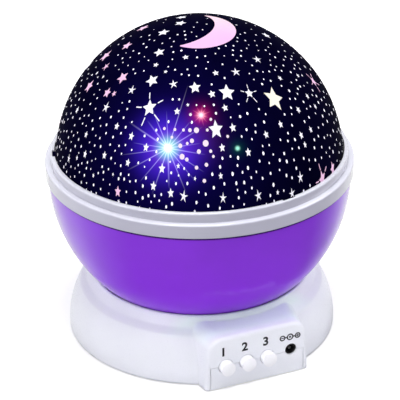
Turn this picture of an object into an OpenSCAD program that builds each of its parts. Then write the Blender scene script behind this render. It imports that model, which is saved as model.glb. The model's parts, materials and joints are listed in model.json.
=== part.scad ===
// Star night light projector: a lamp stands still in the middle of a globe, and a small
// motor in the base turns the globe round it through a train of gears.
// Z is up and is the axis of the globe. The object stands on Z = 0 and its controls face -Y.

/* [Base] */
// How far the base's bulge stands out past the collar's foot
base_flare = 7; // [6:0.1:8]
// Height of the widest part of the base's bulge
bulge_z = 2.5; // [1.5:0.5:4]
// Radius of the bulge's curve in side view
bulge_r = 33.7; // [32:0.1:37]
// Wall of the base housing
base_wall = 2; // [1.6:0.1:2.2]
// Thickness of the housing's floor under the globe
floor_t = 1.9; // [1.6:0.1:2.5]
// Height of the collar from its foot to its lip
collar_h = 5.5; // [5:0.1:7]
// How far the collar slopes in from its foot to its lip
collar_slope = 3.7; // [2.5:0.1:4.2]
// Width of the collar's lip
lip_w = 0.7; // [0.6:0.1:1]
// Height of the soft step between the bulge and the collar, above and below the collar's foot
step_h = 1.2; // [0.6:0.1:1.6]

/* [Control panel] */
// How far the panel's face stands out past the base
panel_out = 1.4; // [1:0.1:2.4]
// Width of the control box at the table
box_w = 46.4; // [46:0.2:50]
// How much narrower the control box is at its top
box_taper = 2; // [1:0.2:3]
// Height of the control box at its face
box_h = 24; // [23.6:0.1:24.6]
// Rise of the control box's top from its face to the collar
box_rise = 1.6; // [0:0.2:2]
// How much wider the control box is on each side at its back
box_flare = 2.2; // [0:0.2:3]
// Radius of the control box's upper corners
box_corner_r = 6.5; // [4:0.5:8]
// Radius that rounds the edge of the control box's face
box_edge_r = 1.6; // [1:0.1:2]
// Height of the line between the cover's front tab and the housing
tab_z = 10.9; // [10:0.1:11.5]

/* [Buttons] */
// Number of buttons
button_count = 3; // [3]
// Diameter of a button's cap
button_d = 6.2; // [5:0.1:6.6]
// Share of the panel's free width that lies left of the first button
left_share = 0.25; // [0.22:0.01:0.35]
// Share of the panel's free width that lies between two buttons
button_share = 0.105; // [0.1:0.005:0.12]
// Height of the buttons
button_z = 10.5; // [10.4:0.1:11.2]
// How far a button stands out of the panel
button_proud = 3.6; // [2:0.1:4]
// How far a button can be pressed
button_travel = 0.6; // [0.3:0.1:0.6]
// Radius of the curve on a button's end
button_crown_r = 9; // [6:1:20]

/* [Power jack] */
// Share of the panel's free width that lies right of the jack
right_share = 0.2; // [0.18:0.01:0.25]
// Height of the jack
jack_z = 11.5; // [11:0.1:12]
// Diameter of the jack's black nose in the panel
jack_nose_d = 4.9; // [4.6:0.1:5.2]
// Diameter of the hole that takes the plug
jack_hole_d = 3.7; // [3.5:0.1:4]
// Diameter of the jack's centre pin
jack_pin_d = 1.3; // [1:0.1:1.6]
// Width and height of the jack's body
jack_body = 7; // [6.4:0.1:7.2]

/* [Globe] */
// Height of the ring's foot above the bowl's middle
rim_rise = 0.9; // [0.4:0.1:1.2]
// Outer radius of the bowl
bowl_r = 63.9; // [63.5:0.1:64.5]
// Wall of the bowl
bowl_wall = 2; // [1.6:0.1:2.4]
// Radius of the bowl's flat bottom
bowl_foot_r = 42.3; // [41.8:0.1:43]
// Thickness of the bowl's flat bottom
bowl_floor_t = 2; // [1.6:0.1:2.6]
// Width of the plate that clamps the bowl to its hub
hub_plate_r = 12; // [10.5:0.5:14]
// Thickness of the plate that clamps the bowl to its hub
hub_plate_t = 1.2; // [1:0.1:2]

/* [Rim ring] */
// How far the ring's lower tier stands out past the bowl
rim_overhang = 1.1; // [0.8:0.1:1.6]
// Height of the ring's lower tier
rim_low_h = 5.8; // [5:0.1:7]
// Height of the ring's upper tier above the lower one
rim_up_h = 4.1; // [4:0.1:6]
// Wall of the ring's upper tier
rim_lip_w = 1.7; // [1.5:0.1:2]
// Radius of the ring's rounded edges
rim_edge_r = 0.8; // [0.5:0.1:0.9]
// Width of the shadow gap between the ring and the bowl
rim_shadow = 0.4; // [0.3:0.1:0.8]
// Thickness of the ring's inner flange
rim_flange_t = 2.3; // [2:0.1:3]

/* [Dome] */
// How much narrower the dome's radius is than the bowl's
dome_inset = 3.4; // [3.2:0.1:3.8]
// Wall of the dome
dome_wall = 1.6; // [1.2:0.1:2]
// Height of the dome's straight skirt
skirt_h = 2.1; // [1.8:0.1:3.5]
// Number of lugs that key the dome into its ring
lug_count = 3; // [2:1:4]
// Width of a lug
lug_w = 5.3; // [4:0.1:7]
// How far a lug stands out of the dome
lug_out = 1.1; // [0.9:0.05:1.15]
// Height of a lug
lug_h = 2.8; // [2:0.1:3]
// Depth of a lug's top below the ring's lip
lug_drop = 0.5; // [0.2:0.1:1]
// Direction of the first lug
lug_angle = 42.7; // [30:0.1:60]

/* [Lamp] */
// Outer diameter of the lamp post
post_d = 12; // [11.4:0.1:12]
// Bore of the lamp post, for its wires
post_bore_d = 8.4; // [7.6:0.1:8.8]
// Height of the lamp's circuit board above the bowl's rim
lamp_h = 3.6; // [0:0.1:6]
// Radius of the lamp's circuit board
lamp_board_r = 22.5; // [21.5:0.5:26]
// Distance from the edge of the lamp's circuit board in to the coloured LEDs
led_inset = 4.3; // [3.6:0.1:6]
// Diameter of an LED
led_d = 5; // [4.6:0.1:5]
// Height of an LED from its flange to its tip
led_h = 8.6; // [8:0.1:9]
// Direction of the red LED
red_angle = 65; // [60:1:70]
// Direction of the blue LED
blue_angle = 196; // [190:1:200]
// Direction of the green LED
green_angle = 306; // [300:1:310]

/* [Drive] */
// Distance from the base's edge in to the first gear's axle
gear_inset = 19.4; // [19.2:0.1:19.8]
// Teeth of the gear on the globe's hub
hub_teeth = 96; // [90:2:96]
// Teeth of the second stage's wheel
second_wheel_teeth = 48; // [44:2:48]
// Teeth of the first stage's wheel
first_wheel_teeth = 42; // [38:2:42]
// Teeth of each pinion
pinion_teeth = 10; // [10]
// Thickness of a gear
gear_t = 1.8; // [1.6:0.1:1.8]
// Diameter of the gears' fixed axles
axle_d = 1.5; // [1.2:0.1:1.6]
// Wall of the globe's hub round the lamp post
hub_wall = 3.2; // [3:0.1:3.4]
// Diameter of the motor
motor_d = 24; // [22:0.5:24]
// Height of the motor
motor_h = 12.2; // [11:0.1:12.2]
// Diameter of the motor's shaft
motor_shaft_d = 2; // [1.5:0.1:2]
// Distance from the globe's axis to the motor's shaft, in gear modules
motor_reach = 66; // [65:0.5:67]
// Direction of the motor
motor_angle = -60; // [-62:1:-58]

/* [Batteries] */
// Number of cells
cell_count = 4; // [4]
// Diameter of a cell
cell_d = 10.5; // [10.2:0.1:10.5]
// Length of a cell with its nub
cell_l = 44.5; // [44:0.1:44.5]
// Gap between two cells
cell_gap = 0.3; // [0.2:0.1:0.4]
// Sideways room for a spring behind each cell
spring_l = 3.3; // [2.8:0.1:3.4]
// Thickness of the battery door
door_t = 1.6; // [1.5:0.1:1.8]

/* [Underside] */
// Height of the feet below the cover
foot_proud = 0.6; // [0.4:0.1:1]
// Diameter of a foot
foot_d = 9; // [7:0.5:10]
// Thickness of the bottom cover
cover_t = 2.4; // [2.2:0.1:2.8]

/* [Fasteners] */
// Diameter of the screws that hold the cover and the ring
screw_d = 2.5; // [2:0.1:2.6]
// Diameter of the small screws
small_screw_d = 1.9; // [1.6:0.1:2]
// Diameter of a wire over its insulation
wire_d = 0.8; // [0.6:0.1:0.9]

/* [Fits] */
// Gap round a pressed or slid piece that doesn't turn
fit_gap = 0.15; // [0.1:0.05:0.2]
// Gap between a shaft and its bearing
run_gap = 0.05; // [0.03:0.01:0.08]
// Gap round a screw's thread in its hole
thread_gap = 0.05; // [0.03:0.01:0.08]
// Gap round a button's cap
button_gap = 0.2; // [0.15:0.05:0.3]
// Gap between the dome and the ring round it
dome_gap = 0.4; // [0.3:0.05:0.5]
// Gap between the bowl and the collar's lip
collar_gap = 0.4; // [0.35:0.05:0.9]
// Gap beside the cover's front tab
tab_gap = 0.25; // [0.1:0.05:0.5]
// Gap round the battery door
door_gap = 0.25; // [0.2:0.05:0.3]
// Gap between two layers of gears
layer_gap = 0.4; // [0.3:0.05:0.5]
// Play between the teeth of two gears
tooth_play = 0.16; // [0.12:0.02:0.2]

/* [Hidden] */
$fn = 96;

// A small length that carries a cut past the face it opens
cut = 1;

// Heights, stacked from the table up
cover_top = foot_proud + cover_t;
door_top = foot_proud + door_t;
cell_lift = 0.3;
cell_step = cell_d + cell_gap;
cell_z = door_top + cell_lift + cell_d / 2;
bay_roof_t = 1;
bay_inner_top = cell_z + cell_d / 2 + 0.1;
bay_top = bay_inner_top + bay_roof_t;
post_flange_t = 1.2;
post_flange_z = bay_top + 0.1;
deck_t = 1.3;
deck_z = post_flange_z + post_flange_t;
deck_top = deck_z + deck_t;
lower_z = deck_top + 0.3;
upper_z = lower_z + gear_t + layer_gap;
floor_z = upper_z + gear_t + 0.5;
floor_top = floor_z + floor_t;
bush_flange_t = 0.5;
bowl_bottom = floor_top + bush_flange_t + 0.1;
shoulder_z = floor_z + 0.1;
step_z = shoulder_z - step_h;
lip_z = shoulder_z + collar_h;
bowl_drop = round(10 * sqrt(bowl_r * bowl_r - bowl_foot_r * bowl_foot_r)) / 10;
globe_z = bowl_bottom + bowl_drop;
rim_z = globe_z + rim_rise;
flange_top = rim_z + rim_flange_t;
dome_z = flange_top + skirt_h;
ledge_z = rim_z + rim_low_h;
rim_top = ledge_z + rim_up_h;
lamp_z = rim_z + lamp_h;

// Radius at height z of a sphere of radius r with its middle at height middle
function sphere_r(r, middle, z) = sqrt(r * r - (z - middle) * (z - middle));

// Base
collar_r = sphere_r(bowl_r, globe_z, lip_z) + collar_gap;
base_r = collar_r + lip_w + collar_slope + base_flare;
cover_r = base_r - base_wall - 2 * fit_gap;
boss_ring_r = base_r - 7.9;
boss_r = 3.2;
boss_angles = [15, 165, 240, 300];
foot_ring_r = base_r - 9.4;
foot_angles = [-50, 40, 140, 230];
foot_t = 1.6;

// Control panel
panel_y = base_r + panel_out;
panel_in = panel_y - base_wall;
box_in_w = box_w - 2 * base_wall - 0.2;
box_in_top = box_h - base_wall - 0.5;
box_depth = 12.8;
box_back = 19;
tab_w = box_in_w - 2 * tab_gap;
flange_gap = 0.1;
button_flange_t = 1;
button_flange_r = button_d / 2 + 1.1;
button_room = 2 * button_flange_r;
panel_w = box_in_w - box_taper / 2;
panel_free = panel_w - button_count * button_room - jack_body;
button_x = button_flange_r + left_share * panel_free - panel_w / 2;
button_pitch = button_room + button_share * panel_free;
jack_x = panel_w / 2 - right_share * panel_free - jack_body / 2;
button_stem_r = 1.6;
button_stem_l = 0.7;
button_head_y = panel_in - flange_gap - button_flange_t;
stem_end = button_head_y - button_stem_l;
plunger_l = 2;
switch_w = 6;
switch_t = 3.5;
switch_y = stem_end - button_travel - 0.2;
board_t = 1.6;
board_front = switch_y - switch_t;
board_back = board_front - board_t;
board_w = box_in_w - box_taper - 1.4;
board_low = cover_top + 0.4;
board_high = box_in_top - 3;
rib_t = 1;
rib_bite = 0.5;

// Lamp
post_hub_gap = 0.3;
post_flange_r = 9;
lamp_board_t = 1.6;
led_ring_r = lamp_board_r - led_inset;
lamp_pad_r = 10;
lamp_pad_t = 1.6;
lamp_screw_r = 7;

// Gears
first_reach = 76;
first_r = base_r - gear_inset;
gear_module = first_r / first_reach;
motor_r = motor_reach * gear_module;
tip_h = 0.9 * gear_module;
root_h = 1.2 * gear_module;
pressure_angle = 20;
mesh_slack = 0.04;
function pitch_r(teeth) = gear_module * teeth / 2;
function reach(a, b) = pitch_r(a) + pitch_r(b) + mesh_slack;
// Angle at side a of a triangle whose sides are a, b and c, where a lies opposite
function corner(a, b, c) = acos((b * b + c * c - a * a) / (2 * b * c));
second_r = reach(hub_teeth, pinion_teeth);
first_angle = motor_angle + corner(reach(first_wheel_teeth, pinion_teeth), first_r, motor_r);
second_angle = first_angle + corner(reach(second_wheel_teeth, pinion_teeth), first_r, second_r);
motor_at = polar(motor_r, motor_angle);
first_at = polar(first_r, first_angle);
second_at = polar(second_r, second_angle);
axle_foot = 1;
axle_top = floor_z + 0.9;
bush_wall = 1.2;
hub_bore_r = post_d / 2 + post_hub_gap;
hub_d = 2 * (hub_bore_r + hub_wall);
hub_screw_r = (hub_bore_r + hub_d / 2) / 2;
hub_screw_angles = [30, 150, 270];
deck_post_r = 2.8;
deck_post_ring_r = pitch_r(hub_teeth) + tip_h + deck_post_r + 1.4;
deck_r = deck_post_ring_r + deck_post_r + 0.6;
deck_posts = [
    polar(deck_post_ring_r, 60), polar(deck_post_ring_r, 170), polar(deck_post_ring_r, 260),
    polar(first_r + 6.2, -10)
];
countersink_r = 2;
countersink_h = 0.9;
motor_screw_r = 8;
motor_screw_angle = 17;

// Globe
dome_r = bowl_r - dome_inset;
rim_screw_r = dome_r - 5;
rim_screw_angles = [100, 220, 340];
rim_boss_r = 2.8;
rim_boss_h = 9;
rim_flange_r = rim_screw_r - 3;
lip_in_r = dome_r + dome_gap;
tier_r = lip_in_r + rim_lip_w;
rim_r = bowl_r + rim_overhang;
head_t = 1.2;
head_extra = 0.7;

// Batteries
plate_t = 0.4;
bay_in_x = (cell_l + spring_l + 2 * plate_t) / 2;
bay_wall = 1.2;
bay_x = bay_in_x + bay_wall;
bay_gap = 2.5;
bay_room_r = base_r - bulge_r + sphere_r(bulge_r - base_wall, bulge_z, bay_top);
bay_y1 = sphere_r(bay_room_r, 0, bay_x) - bay_gap - bay_wall;
bay_y0 = bay_y1 - cell_count * cell_step - 0.4;
door_x = bay_x + 0.7;
door_y0 = bay_y0 - 1.6;
door_hinge_y = bay_y1 + bay_wall + 1.8;
door_hinge_z = foot_proud + door_t / 2;
door_lobe_y = door_y0 - 6.8;
door_lobe_w = 10;
door_screw_y = door_y0 - 3.3;
door_screw_l = 3.8;
door_thread_gap = 0.35;
tongue_w = 6;
tongue_l = 2.9;
tongue_xs = [-15, 15];

function polar(r, angle) = [r * cos(angle), r * sin(angle)];
function cell_y(i) = bay_y0 + 0.2 + (i + 0.5) * cell_step;
// A cell's nub points to -X when this is -1
function cell_way(i) = i % 2 == 0 ? -1 : 1;
function button_at(i) = button_x + i * button_pitch;

// A cylinder that stands on z at the flat place at
module rod(at, z, h, r) {
    translate([at[0], at[1], z]) cylinder(h = h, r = r);
}

// A cylinder along +Y from y at sideways place x and height z
module rod_y(x, z, y, h, r) {
    translate([x, y, z]) rotate([-90, 0, 0]) cylinder(h = h, r = r);
}

// A box given by its low and high corners
module block(low, high) {
    translate(low) cube(high - low);
}

// A pan-head screw that points up, with its head's underside at z
module screw_up(at, z, length, d) {
    rod(at, z, length, d / 2);
    difference() {
        rod(at, z - head_t, head_t, d / 2 + head_extra);
        cross_slot(at, z - head_t, d);
    }
}

// A pan-head screw that points down, with its head's underside at z
module screw_down(at, z, length, d) {
    rod(at, z - length, length, d / 2);
    difference() {
        rod(at, z, head_t, d / 2 + head_extra);
        cross_slot(at, z + head_t, d);
    }
}

// A countersunk screw that points up, with the flat of its head at z
module sunk_screw_up(at, z, length, d) {
    rod(at, z, length, d / 2);
    difference() {
        sunk_head(at, z, d);
        cross_slot(at, z, d);
    }
}

// The head of a countersunk screw, wide end down
module sunk_head(at, z, d) {
    translate([at[0], at[1], z]) cylinder(h = countersink_h, r1 = countersink_r, r2 = d / 2);
}

// Hole for a countersunk screw's head in a face at z, wide end down
module sunk_hole(at, z, d) {
    grow = 0.1;
    rod(at, z - cut, cut, countersink_r + grow);
    translate([at[0], at[1], z])
        cylinder(h = countersink_h, r1 = countersink_r + grow, r2 = d / 2 + grow);
}

// The cross that a screwdriver turns, cut half into each side of height z
module cross_slot(at, z, d) {
    depth = 1;
    for (turn = [0, 90])
        translate([at[0], at[1], z]) rotate([0, 0, turn])
            cube([1.2 * d, 0.2 * d, depth], center = true);
}

// A spur gear's outline, with a tooth centred on +X
module gear_outline(teeth) {
    base = pitch_r(teeth) * cos(pressure_angle);
    root = pitch_r(teeth) - root_h;
    tip = pitch_r(teeth) + tip_h;
    play = tooth_play / 2 / pitch_r(teeth) * 180 / PI / 2;
    roll = involute(pressure_angle);
    radii = [root, pitch_r(teeth), tip];
    half = [for (r = radii) 90 / teeth + roll - involute(acos(min(1, base / r))) - play];
    polygon([
        for (i = [0 : teeth - 1]) each [
            for (k = [0 : 2]) polar(radii[k], i * 360 / teeth - half[k]),
            for (k = [2 : -1 : 0]) polar(radii[k], i * 360 / teeth + half[k])
        ]
    ]);
}
function involute(angle) = tan(angle) * 180 / PI - angle;

// Angle of gear b in mesh with gear a, where b lies in direction way from a
function mesh_angle(a, a_angle, b, way) =
    way + 180 - (0.5 - (way - a_angle) * a / 360) * 360 / b;
function way_from(p, q) = atan2(q[1] - p[1], q[0] - p[0]);
second_turn = mesh_angle(hub_teeth, 0, pinion_teeth, second_angle);
first_turn = mesh_angle(second_wheel_teeth, second_turn, pinion_teeth,
    way_from(second_at, first_at));
motor_turn = mesh_angle(first_wheel_teeth, first_turn, pinion_teeth,
    way_from(first_at, motor_at));

module gear(at, turn, teeth, z, h) {
    translate([at[0], at[1], z]) rotate([0, 0, turn]) linear_extrude(h) gear_outline(teeth);
}

// The points of a wire's middle line, with each corner rounded over the length turn
function rounded(points, turn) = [
    points[0],
    for (i = [1 : len(points) - 2]) let (
        p = points[i],
        a = p + unit(points[i - 1] - p) * turn,
        b = p + unit(points[i + 1] - p) * turn
    ) each [a, (a + b + 2 * p) / 4, b],
    points[len(points) - 1]
];
function unit(v) = v / norm(v);

// A wire through the points, as a tube of sides flat faces
module wire(points) {
    sides = 8;
    lean = [0.31, 0.17, 0.93];
    line = rounded(points, 0.75);
    last = len(line) - 1;
    rings = [
        for (i = [0 : last]) let (
            along = unit(line[min(i + 1, last)] - line[max(i - 1, 0)]),
            u = unit(cross(along, lean)),
            v = cross(along, u)
        ) each [
            for (j = [0 : sides - 1])
                line[i] + (u * cos(360 * j / sides) + v * sin(360 * j / sides)) * wire_d / 2
        ]
    ];
    ends = [[for (j = [0 : sides - 1]) j], [for (j = [sides - 1 : -1 : 0]) last * sides + j]];
    skin = [
        for (i = [0 : last - 1]) for (j = [0 : sides - 1]) let (n = (j + 1) % sides)
            each [
                [i * sides + j, (i + 1) * sides + j, (i + 1) * sides + n],
                [i * sides + j, (i + 1) * sides + n, i * sides + n]
            ]
    ];
    polyhedron(rings, concat(ends, skin));
}

// Side outline of the base from its axis out, smaller by the wall w
module bulge_outline(w, top) {
    intersection() {
        translate([base_r - bulge_r, bulge_z]) circle(bulge_r - w);
        translate([0, foot_proud - (w > 0 ? cut : 0)])
            square([base_r + cut, top - foot_proud + (w > 0 ? cut : 0)]);
    }
}

// Side outline of the housing: the bulge, a soft step and the collar up to its rounded lip
module housing_outline() {
    lip_out = collar_r + lip_w;
    edge_z = lip_z - lip_w / 2;
    foot_r = lip_out + collar_slope * (1 - step_h / (edge_z - shoulder_z));
    step_r = base_r - bulge_r + sqrt(bulge_r * bulge_r - (step_z - bulge_z) * (step_z - bulge_z));
    intersection() {
        bulge_outline(0, lip_z + cut);
        polygon([
            [-1, 0], [base_r + 1, 0],
            [base_r + 1, step_z - 2 * step_h * (base_r + 1 - step_r) / (step_r - foot_r)],
            [foot_r, shoulder_z + step_h], [lip_out, edge_z], [lip_out - lip_w / 2, lip_z],
            [-1, lip_z]
        ]);
    }
}

// Outer shape of the control box
module box_outer() {
    e = box_edge_r;
    back = panel_y - box_back;
    hull() {
        for (side = [-1, 1]) {
            translate([side * (box_w / 2 - e), e - panel_y, foot_proud])
                cylinder(h = 1, r = e, $fn = 32);
            translate([side * (box_w / 2 + box_flare - e), -back, foot_proud])
                cylinder(h = 1, r = e, $fn = 32);
            translate([side * (box_w / 2 - box_taper / 2 - box_corner_r), e - panel_y,
                box_h - box_corner_r]) box_corner();
            translate([side * (box_w / 2 + box_flare - box_taper / 2 - box_corner_r), -back,
                box_h + box_rise - box_corner_r]) box_corner();
        }
    }
}
module box_corner() {
    rotate([90, 0, 0]) rotate_extrude($fn = 48)
        translate([box_corner_r - box_edge_r, 0]) circle(box_edge_r, $fn = 24);
}

// Hollow of the control box
module box_inner() {
    low_w = box_in_w;
    high_w = box_in_w - box_taper;
    r = box_corner_r - base_wall;
    translate([0, -panel_in, 0]) rotate([-90, 0, 0]) linear_extrude(box_depth)
        mirror([0, 1]) {
            polygon([
                [-low_w / 2, -cut], [low_w / 2, -cut], [high_w / 2, box_in_top - r],
                [high_w / 2 - r, box_in_top], [r - high_w / 2, box_in_top],
                [-high_w / 2, box_in_top - r]
            ]);
            for (side = [-1, 1])
                translate([side * (high_w / 2 - r), box_in_top - r]) circle(r);
        }
}

// Holes in the panel for the buttons and the jack
module panel_holes() {
    for (i = [0 : button_count - 1])
        rod_y(button_at(i), button_z, -panel_y - cut, base_wall + 2 * cut,
            button_d / 2 + button_gap);
    rod_y(jack_x, jack_z, -panel_y - cut, base_wall + 2 * cut, jack_nose_d / 2 + fit_gap);
}

module base_housing() {
    color([0.9, 0.9, 0.95]) difference() {
        union() {
            difference() {
                union() {
                    rotate_extrude() housing_outline();
                    box_outer();
                }
                rotate_extrude() bulge_outline(base_wall, floor_z);
                box_inner();
                rod([0, 0], floor_top, collar_h + 2 * cut, collar_r);
                block([-box_in_w / 2, -panel_y - cut, -cut], [box_in_w / 2, -panel_in + cut, tab_z]);
            }
            housing_bosses();
            deck_post_shafts();
            board_ribs();
        }
        rod([0, 0], floor_z - cut, floor_t + 2 * cut, hub_d / 2 + run_gap + bush_wall + fit_gap);
        panel_holes();
        for (angle = boss_angles)
            rod(polar(boss_ring_r, angle), cover_top - cut, 8 + cut, screw_d / 2 + thread_gap);
        for (at = deck_posts)
            rod(at, deck_top - cut, floor_z - deck_top - 0.8 + cut,
                small_screw_d / 2 + thread_gap);
        for (at = [first_at, second_at])
            rod(at, floor_z - cut, axle_top - floor_z + 0.1 + cut, axle_d / 2 + run_gap);
    }
}
module housing_bosses() {
    intersection() {
        rotate_extrude() bulge_outline(base_wall / 2, floor_z + floor_t / 2);
        union() for (angle = boss_angles) {
            rod(polar(boss_ring_r, angle), cover_top, floor_z, boss_r);
            rotate([0, 0, angle])
                block([boss_ring_r, -0.8, cover_top], [base_r, 0.8, floor_z]);
        }
    }
}
module deck_post_shafts() {
    for (at = deck_posts) rod(at, deck_top, floor_z - deck_top + floor_t / 2, deck_post_r);
}
module board_ribs() {
    slot = 0.2;
    difference() {
        for (side = [0, 1]) mirror([side, 0, 0])
            for (y = [-board_front - slot - rib_t, -board_back + slot])
                block([board_w / 2 - rib_bite, y, board_low],
                    [box_in_w / 2 + 0.3, y + rib_t, board_high]);
        jack_block(fit_gap);
    }
}

// Outline of the battery door, with gap added all round and a longer lobe for its screw
module door_outline(gap) {
    translate([-door_x - gap, door_y0 - gap])
        square([2 * (door_x + gap), door_hinge_y - door_y0 + gap]);
    translate([-door_lobe_w / 2 - gap, door_lobe_y + door_lobe_w / 2])
        square([door_lobe_w + 2 * gap, door_y0 - door_lobe_y]);
    translate([0, door_lobe_y + door_lobe_w / 2]) circle(door_lobe_w / 2 + gap);
}

module bottom_cover() {
    color([0.88, 0.88, 0.93]) difference() {
        union() {
            rod([0, 0], foot_proud, cover_t, cover_r);
            block([-tab_w / 2, -panel_y, foot_proud], [tab_w / 2, 0, cover_top]);
            block([-tab_w / 2, -panel_y, foot_proud],
                [tab_w / 2, -panel_in, tab_z - fit_gap]);
            block([-bay_x, bay_y0 - bay_wall, foot_proud + cut], [bay_x, bay_y1 + bay_wall, bay_top]);
            rod([0, door_screw_y], foot_proud + cut, cover_top + 4 - foot_proud, 3);
        }
        block([-bay_in_x, bay_y0, -cut], [bay_in_x, bay_y1, bay_inner_top]);
        translate([0, 0, foot_proud - cut]) linear_extrude(door_t + cut + 0.1)
            door_outline(door_gap);
        translate([0, door_hinge_y - cut, foot_proud - cut])
            block([-door_x - door_gap, 0, 0],
                [door_x + door_gap, cut + door_t / 2 + door_gap, door_t + cut + 0.1]);
        for (x = tongue_xs)
            block([x - tongue_w / 2 - door_gap, door_hinge_y - 1, door_hinge_z - 0.2],
                [x + tongue_w / 2 + door_gap, door_hinge_y + tongue_l + 0.4, cover_top + cut]);
        rod([0, door_screw_y], door_top, 4.4, screw_d / 2 + door_thread_gap);
        for (angle = boss_angles) {
            rod(polar(boss_ring_r, angle), 0, cover_top + cut, screw_d / 2 + fit_gap);
            rod(polar(boss_ring_r, angle), foot_proud - cut, head_t + 0.2 + cut,
                screw_d / 2 + head_extra + fit_gap);
        }
        for (angle = foot_angles)
            rod(polar(foot_ring_r, angle), -cut, foot_t + cut, foot_d / 2 + 0.05);
        panel_holes();
        for (i = [0, cell_count - 1]) tag_slot(i);
    }
}
// Slot in the bay's end wall for the solder tag of cell i
module tag_slot(i) {
    block([-bay_x - cut, cell_y(i) - 1.7, cell_z - 0.4], [-bay_in_x + 0.1, cell_y(i) + 1.7, cell_z + 0.4]);
}

module battery_door() {
    color([0.88, 0.88, 0.93]) difference() {
        union() {
            translate([0, 0, foot_proud]) linear_extrude(door_t) door_outline(0);
            translate([-door_x, door_hinge_y, door_hinge_z]) rotate([0, 90, 0])
                cylinder(h = 2 * door_x, r = door_t / 2);
            for (x = tongue_xs)
                block([x - tongue_w / 2, door_hinge_y - 1, door_hinge_z],
                    [x + tongue_w / 2, door_hinge_y + tongue_l, door_top]);
        }
        rod([0, door_screw_y], 0, door_top + cut, screw_d / 2 + fit_gap);
        rod([0, door_screw_y], 0, foot_proud + head_t, screw_d / 2 + head_extra + fit_gap);
        for (i = [0 : 4])
            block([-6, 10 + 4 * i, foot_proud - cut], [6, 11.2 + 4 * i, foot_proud + 0.5]);
    }
}
module battery_door_screw() {
    color("silver") screw_up([0, door_screw_y], foot_proud + head_t, door_screw_l, screw_d);
}

module aaa_cells() {
    nub_l = 0.9;
    color([0.35, 0.36, 0.4]) for (i = [0 : cell_count - 1]) {
        way = cell_way(i);
        body_end = bay_in_x - plate_t - spring_l;
        translate([-way * body_end, cell_y(i), cell_z]) rotate([0, way * 90, 0]) {
            cylinder(h = cell_l - nub_l, d = cell_d);
            cylinder(h = cell_l, d = 3.8);
        }
    }
}

module contact_plates() {
    tall = 8;
    half = tall / 2;
    color("silver") {
        for (pair = [0, 2])
            contact_plate(1, cell_y(pair) - half, cell_y(pair + 1) + half, tall);
        contact_plate(-1, cell_y(1) - half, cell_y(2) + half, tall);
        for (i = [0, cell_count - 1]) {
            contact_plate(-1, cell_y(i) - half, cell_y(i) + half, tall);
            block([-bay_x - 2, cell_y(i) - 1.5, cell_z - 0.2],
                [-bay_in_x + plate_t, cell_y(i) + 1.5, cell_z + 0.2]);
        }
    }
}
module contact_plate(side, y0, y1, tall) {
    x0 = side > 0 ? bay_in_x - plate_t : -bay_in_x;
    block([x0, y0, cell_z - tall / 2], [x0 + plate_t, y1, cell_z + tall / 2]);
}

// Each spring narrows from the plate to the flat end of its cell
module contact_springs() {
    wire_r = 0.3;
    turns = 3;
    steps = 12;
    sides = 6;
    length = spring_l - 2 * wire_r - 0.1;
    rings = turns * steps;
    wide = 3.6;
    narrow = 2;
    function spring_point(k, j) =
        let (t = k / rings, a = 360 * turns * t, r = wide + (narrow - wide) * t, b = 360 * j / sides)
        [(r + wire_r * cos(b)) * cos(a), (r + wire_r * cos(b)) * sin(a),
            length * t + wire_r * sin(b)];
    points = [for (k = [0 : rings]) for (j = [0 : sides - 1]) spring_point(k, j)];
    ends = [[for (j = [0 : sides - 1]) j], [for (j = [sides - 1 : -1 : 0]) rings * sides + j]];
    skin = [
        for (k = [0 : rings - 1]) for (j = [0 : sides - 1])
            let (n = (j + 1) % sides)
            [k * sides + j, (k + 1) * sides + j, (k + 1) * sides + n, k * sides + n]
    ];
    color("silver") for (i = [0 : cell_count - 1]) {
        way = cell_way(i);
        translate([-way * (bay_in_x - plate_t - wire_r - 0.05), cell_y(i), cell_z])
            rotate([0, way * 90, 0]) polyhedron(points, concat(ends, skin));
    }
}

module cover_screws() {
    color("silver") for (angle = boss_angles)
        screw_up(polar(boss_ring_r, angle), foot_proud + head_t + 0.2, 7.5, screw_d);
}

module rubber_feet() {
    color([0.25, 0.25, 0.28]) for (angle = foot_angles) rod(polar(foot_ring_r, angle), 0, foot_t, foot_d / 2);
}

module control_board() {
    color([0.1, 0.45, 0.25])
        block([-board_w / 2, -board_front, board_low], [board_w / 2, -board_back, board_high]);
}
module control_chip() {
    at = [-8, -board_back, 11];
    color([0.12, 0.12, 0.13]) block(at - [2.5, 0, 2], at + [2.5, 1.5, 2]);
}
module board_capacitor() {
    color([0.15, 0.2, 0.35]) rod_y(5, 12.5, -board_back, 5.5, 2.5);
}
module board_resistors() {
    color([0.2, 0.2, 0.2]) for (i = [0 : 3])
        translate([board_w / 2 - 8.5 + 2.2 * i, -board_back, 12]) cube([1.2, 0.6, 2]);
}
module tact_switches() {
    hole_l = plunger_l - (stem_end - switch_y) + button_travel + 0.3;
    color([0.15, 0.15, 0.16]) for (i = [0 : button_count - 1]) difference() {
        block([button_at(i) - switch_w / 2, -switch_y, button_z - switch_w / 2],
            [button_at(i) + switch_w / 2, -board_front, button_z + switch_w / 2]);
        rod_y(button_at(i), button_z, -switch_y - cut, hole_l + cut, button_stem_r + 0.1);
    }
}

module button(i) {
    tip = panel_y + button_proud;
    color("white") {
        intersection() {
            rod_y(button_at(i), button_z, -tip, tip - panel_in + flange_gap + 0.5, button_d / 2);
            translate([button_at(i), button_crown_r - tip, button_z]) sphere(button_crown_r);
        }
        rod_y(button_at(i), button_z, -panel_in + flange_gap, button_flange_t, button_flange_r);
        rod_y(button_at(i), button_z, -button_head_y, button_stem_l, button_stem_r);
    }
}
module plunger(i) {
    color([0.9, 0.85, 0.7]) rod_y(button_at(i), button_z, -stem_end, plunger_l, button_stem_r);
}
module button_left() { button(0); }
module button_middle() { button(1); }
module button_right() { button(2); }
module plunger_left() { plunger(0); }
module plunger_middle() { plunger(1); }
module plunger_right() { plunger(2); }

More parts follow.
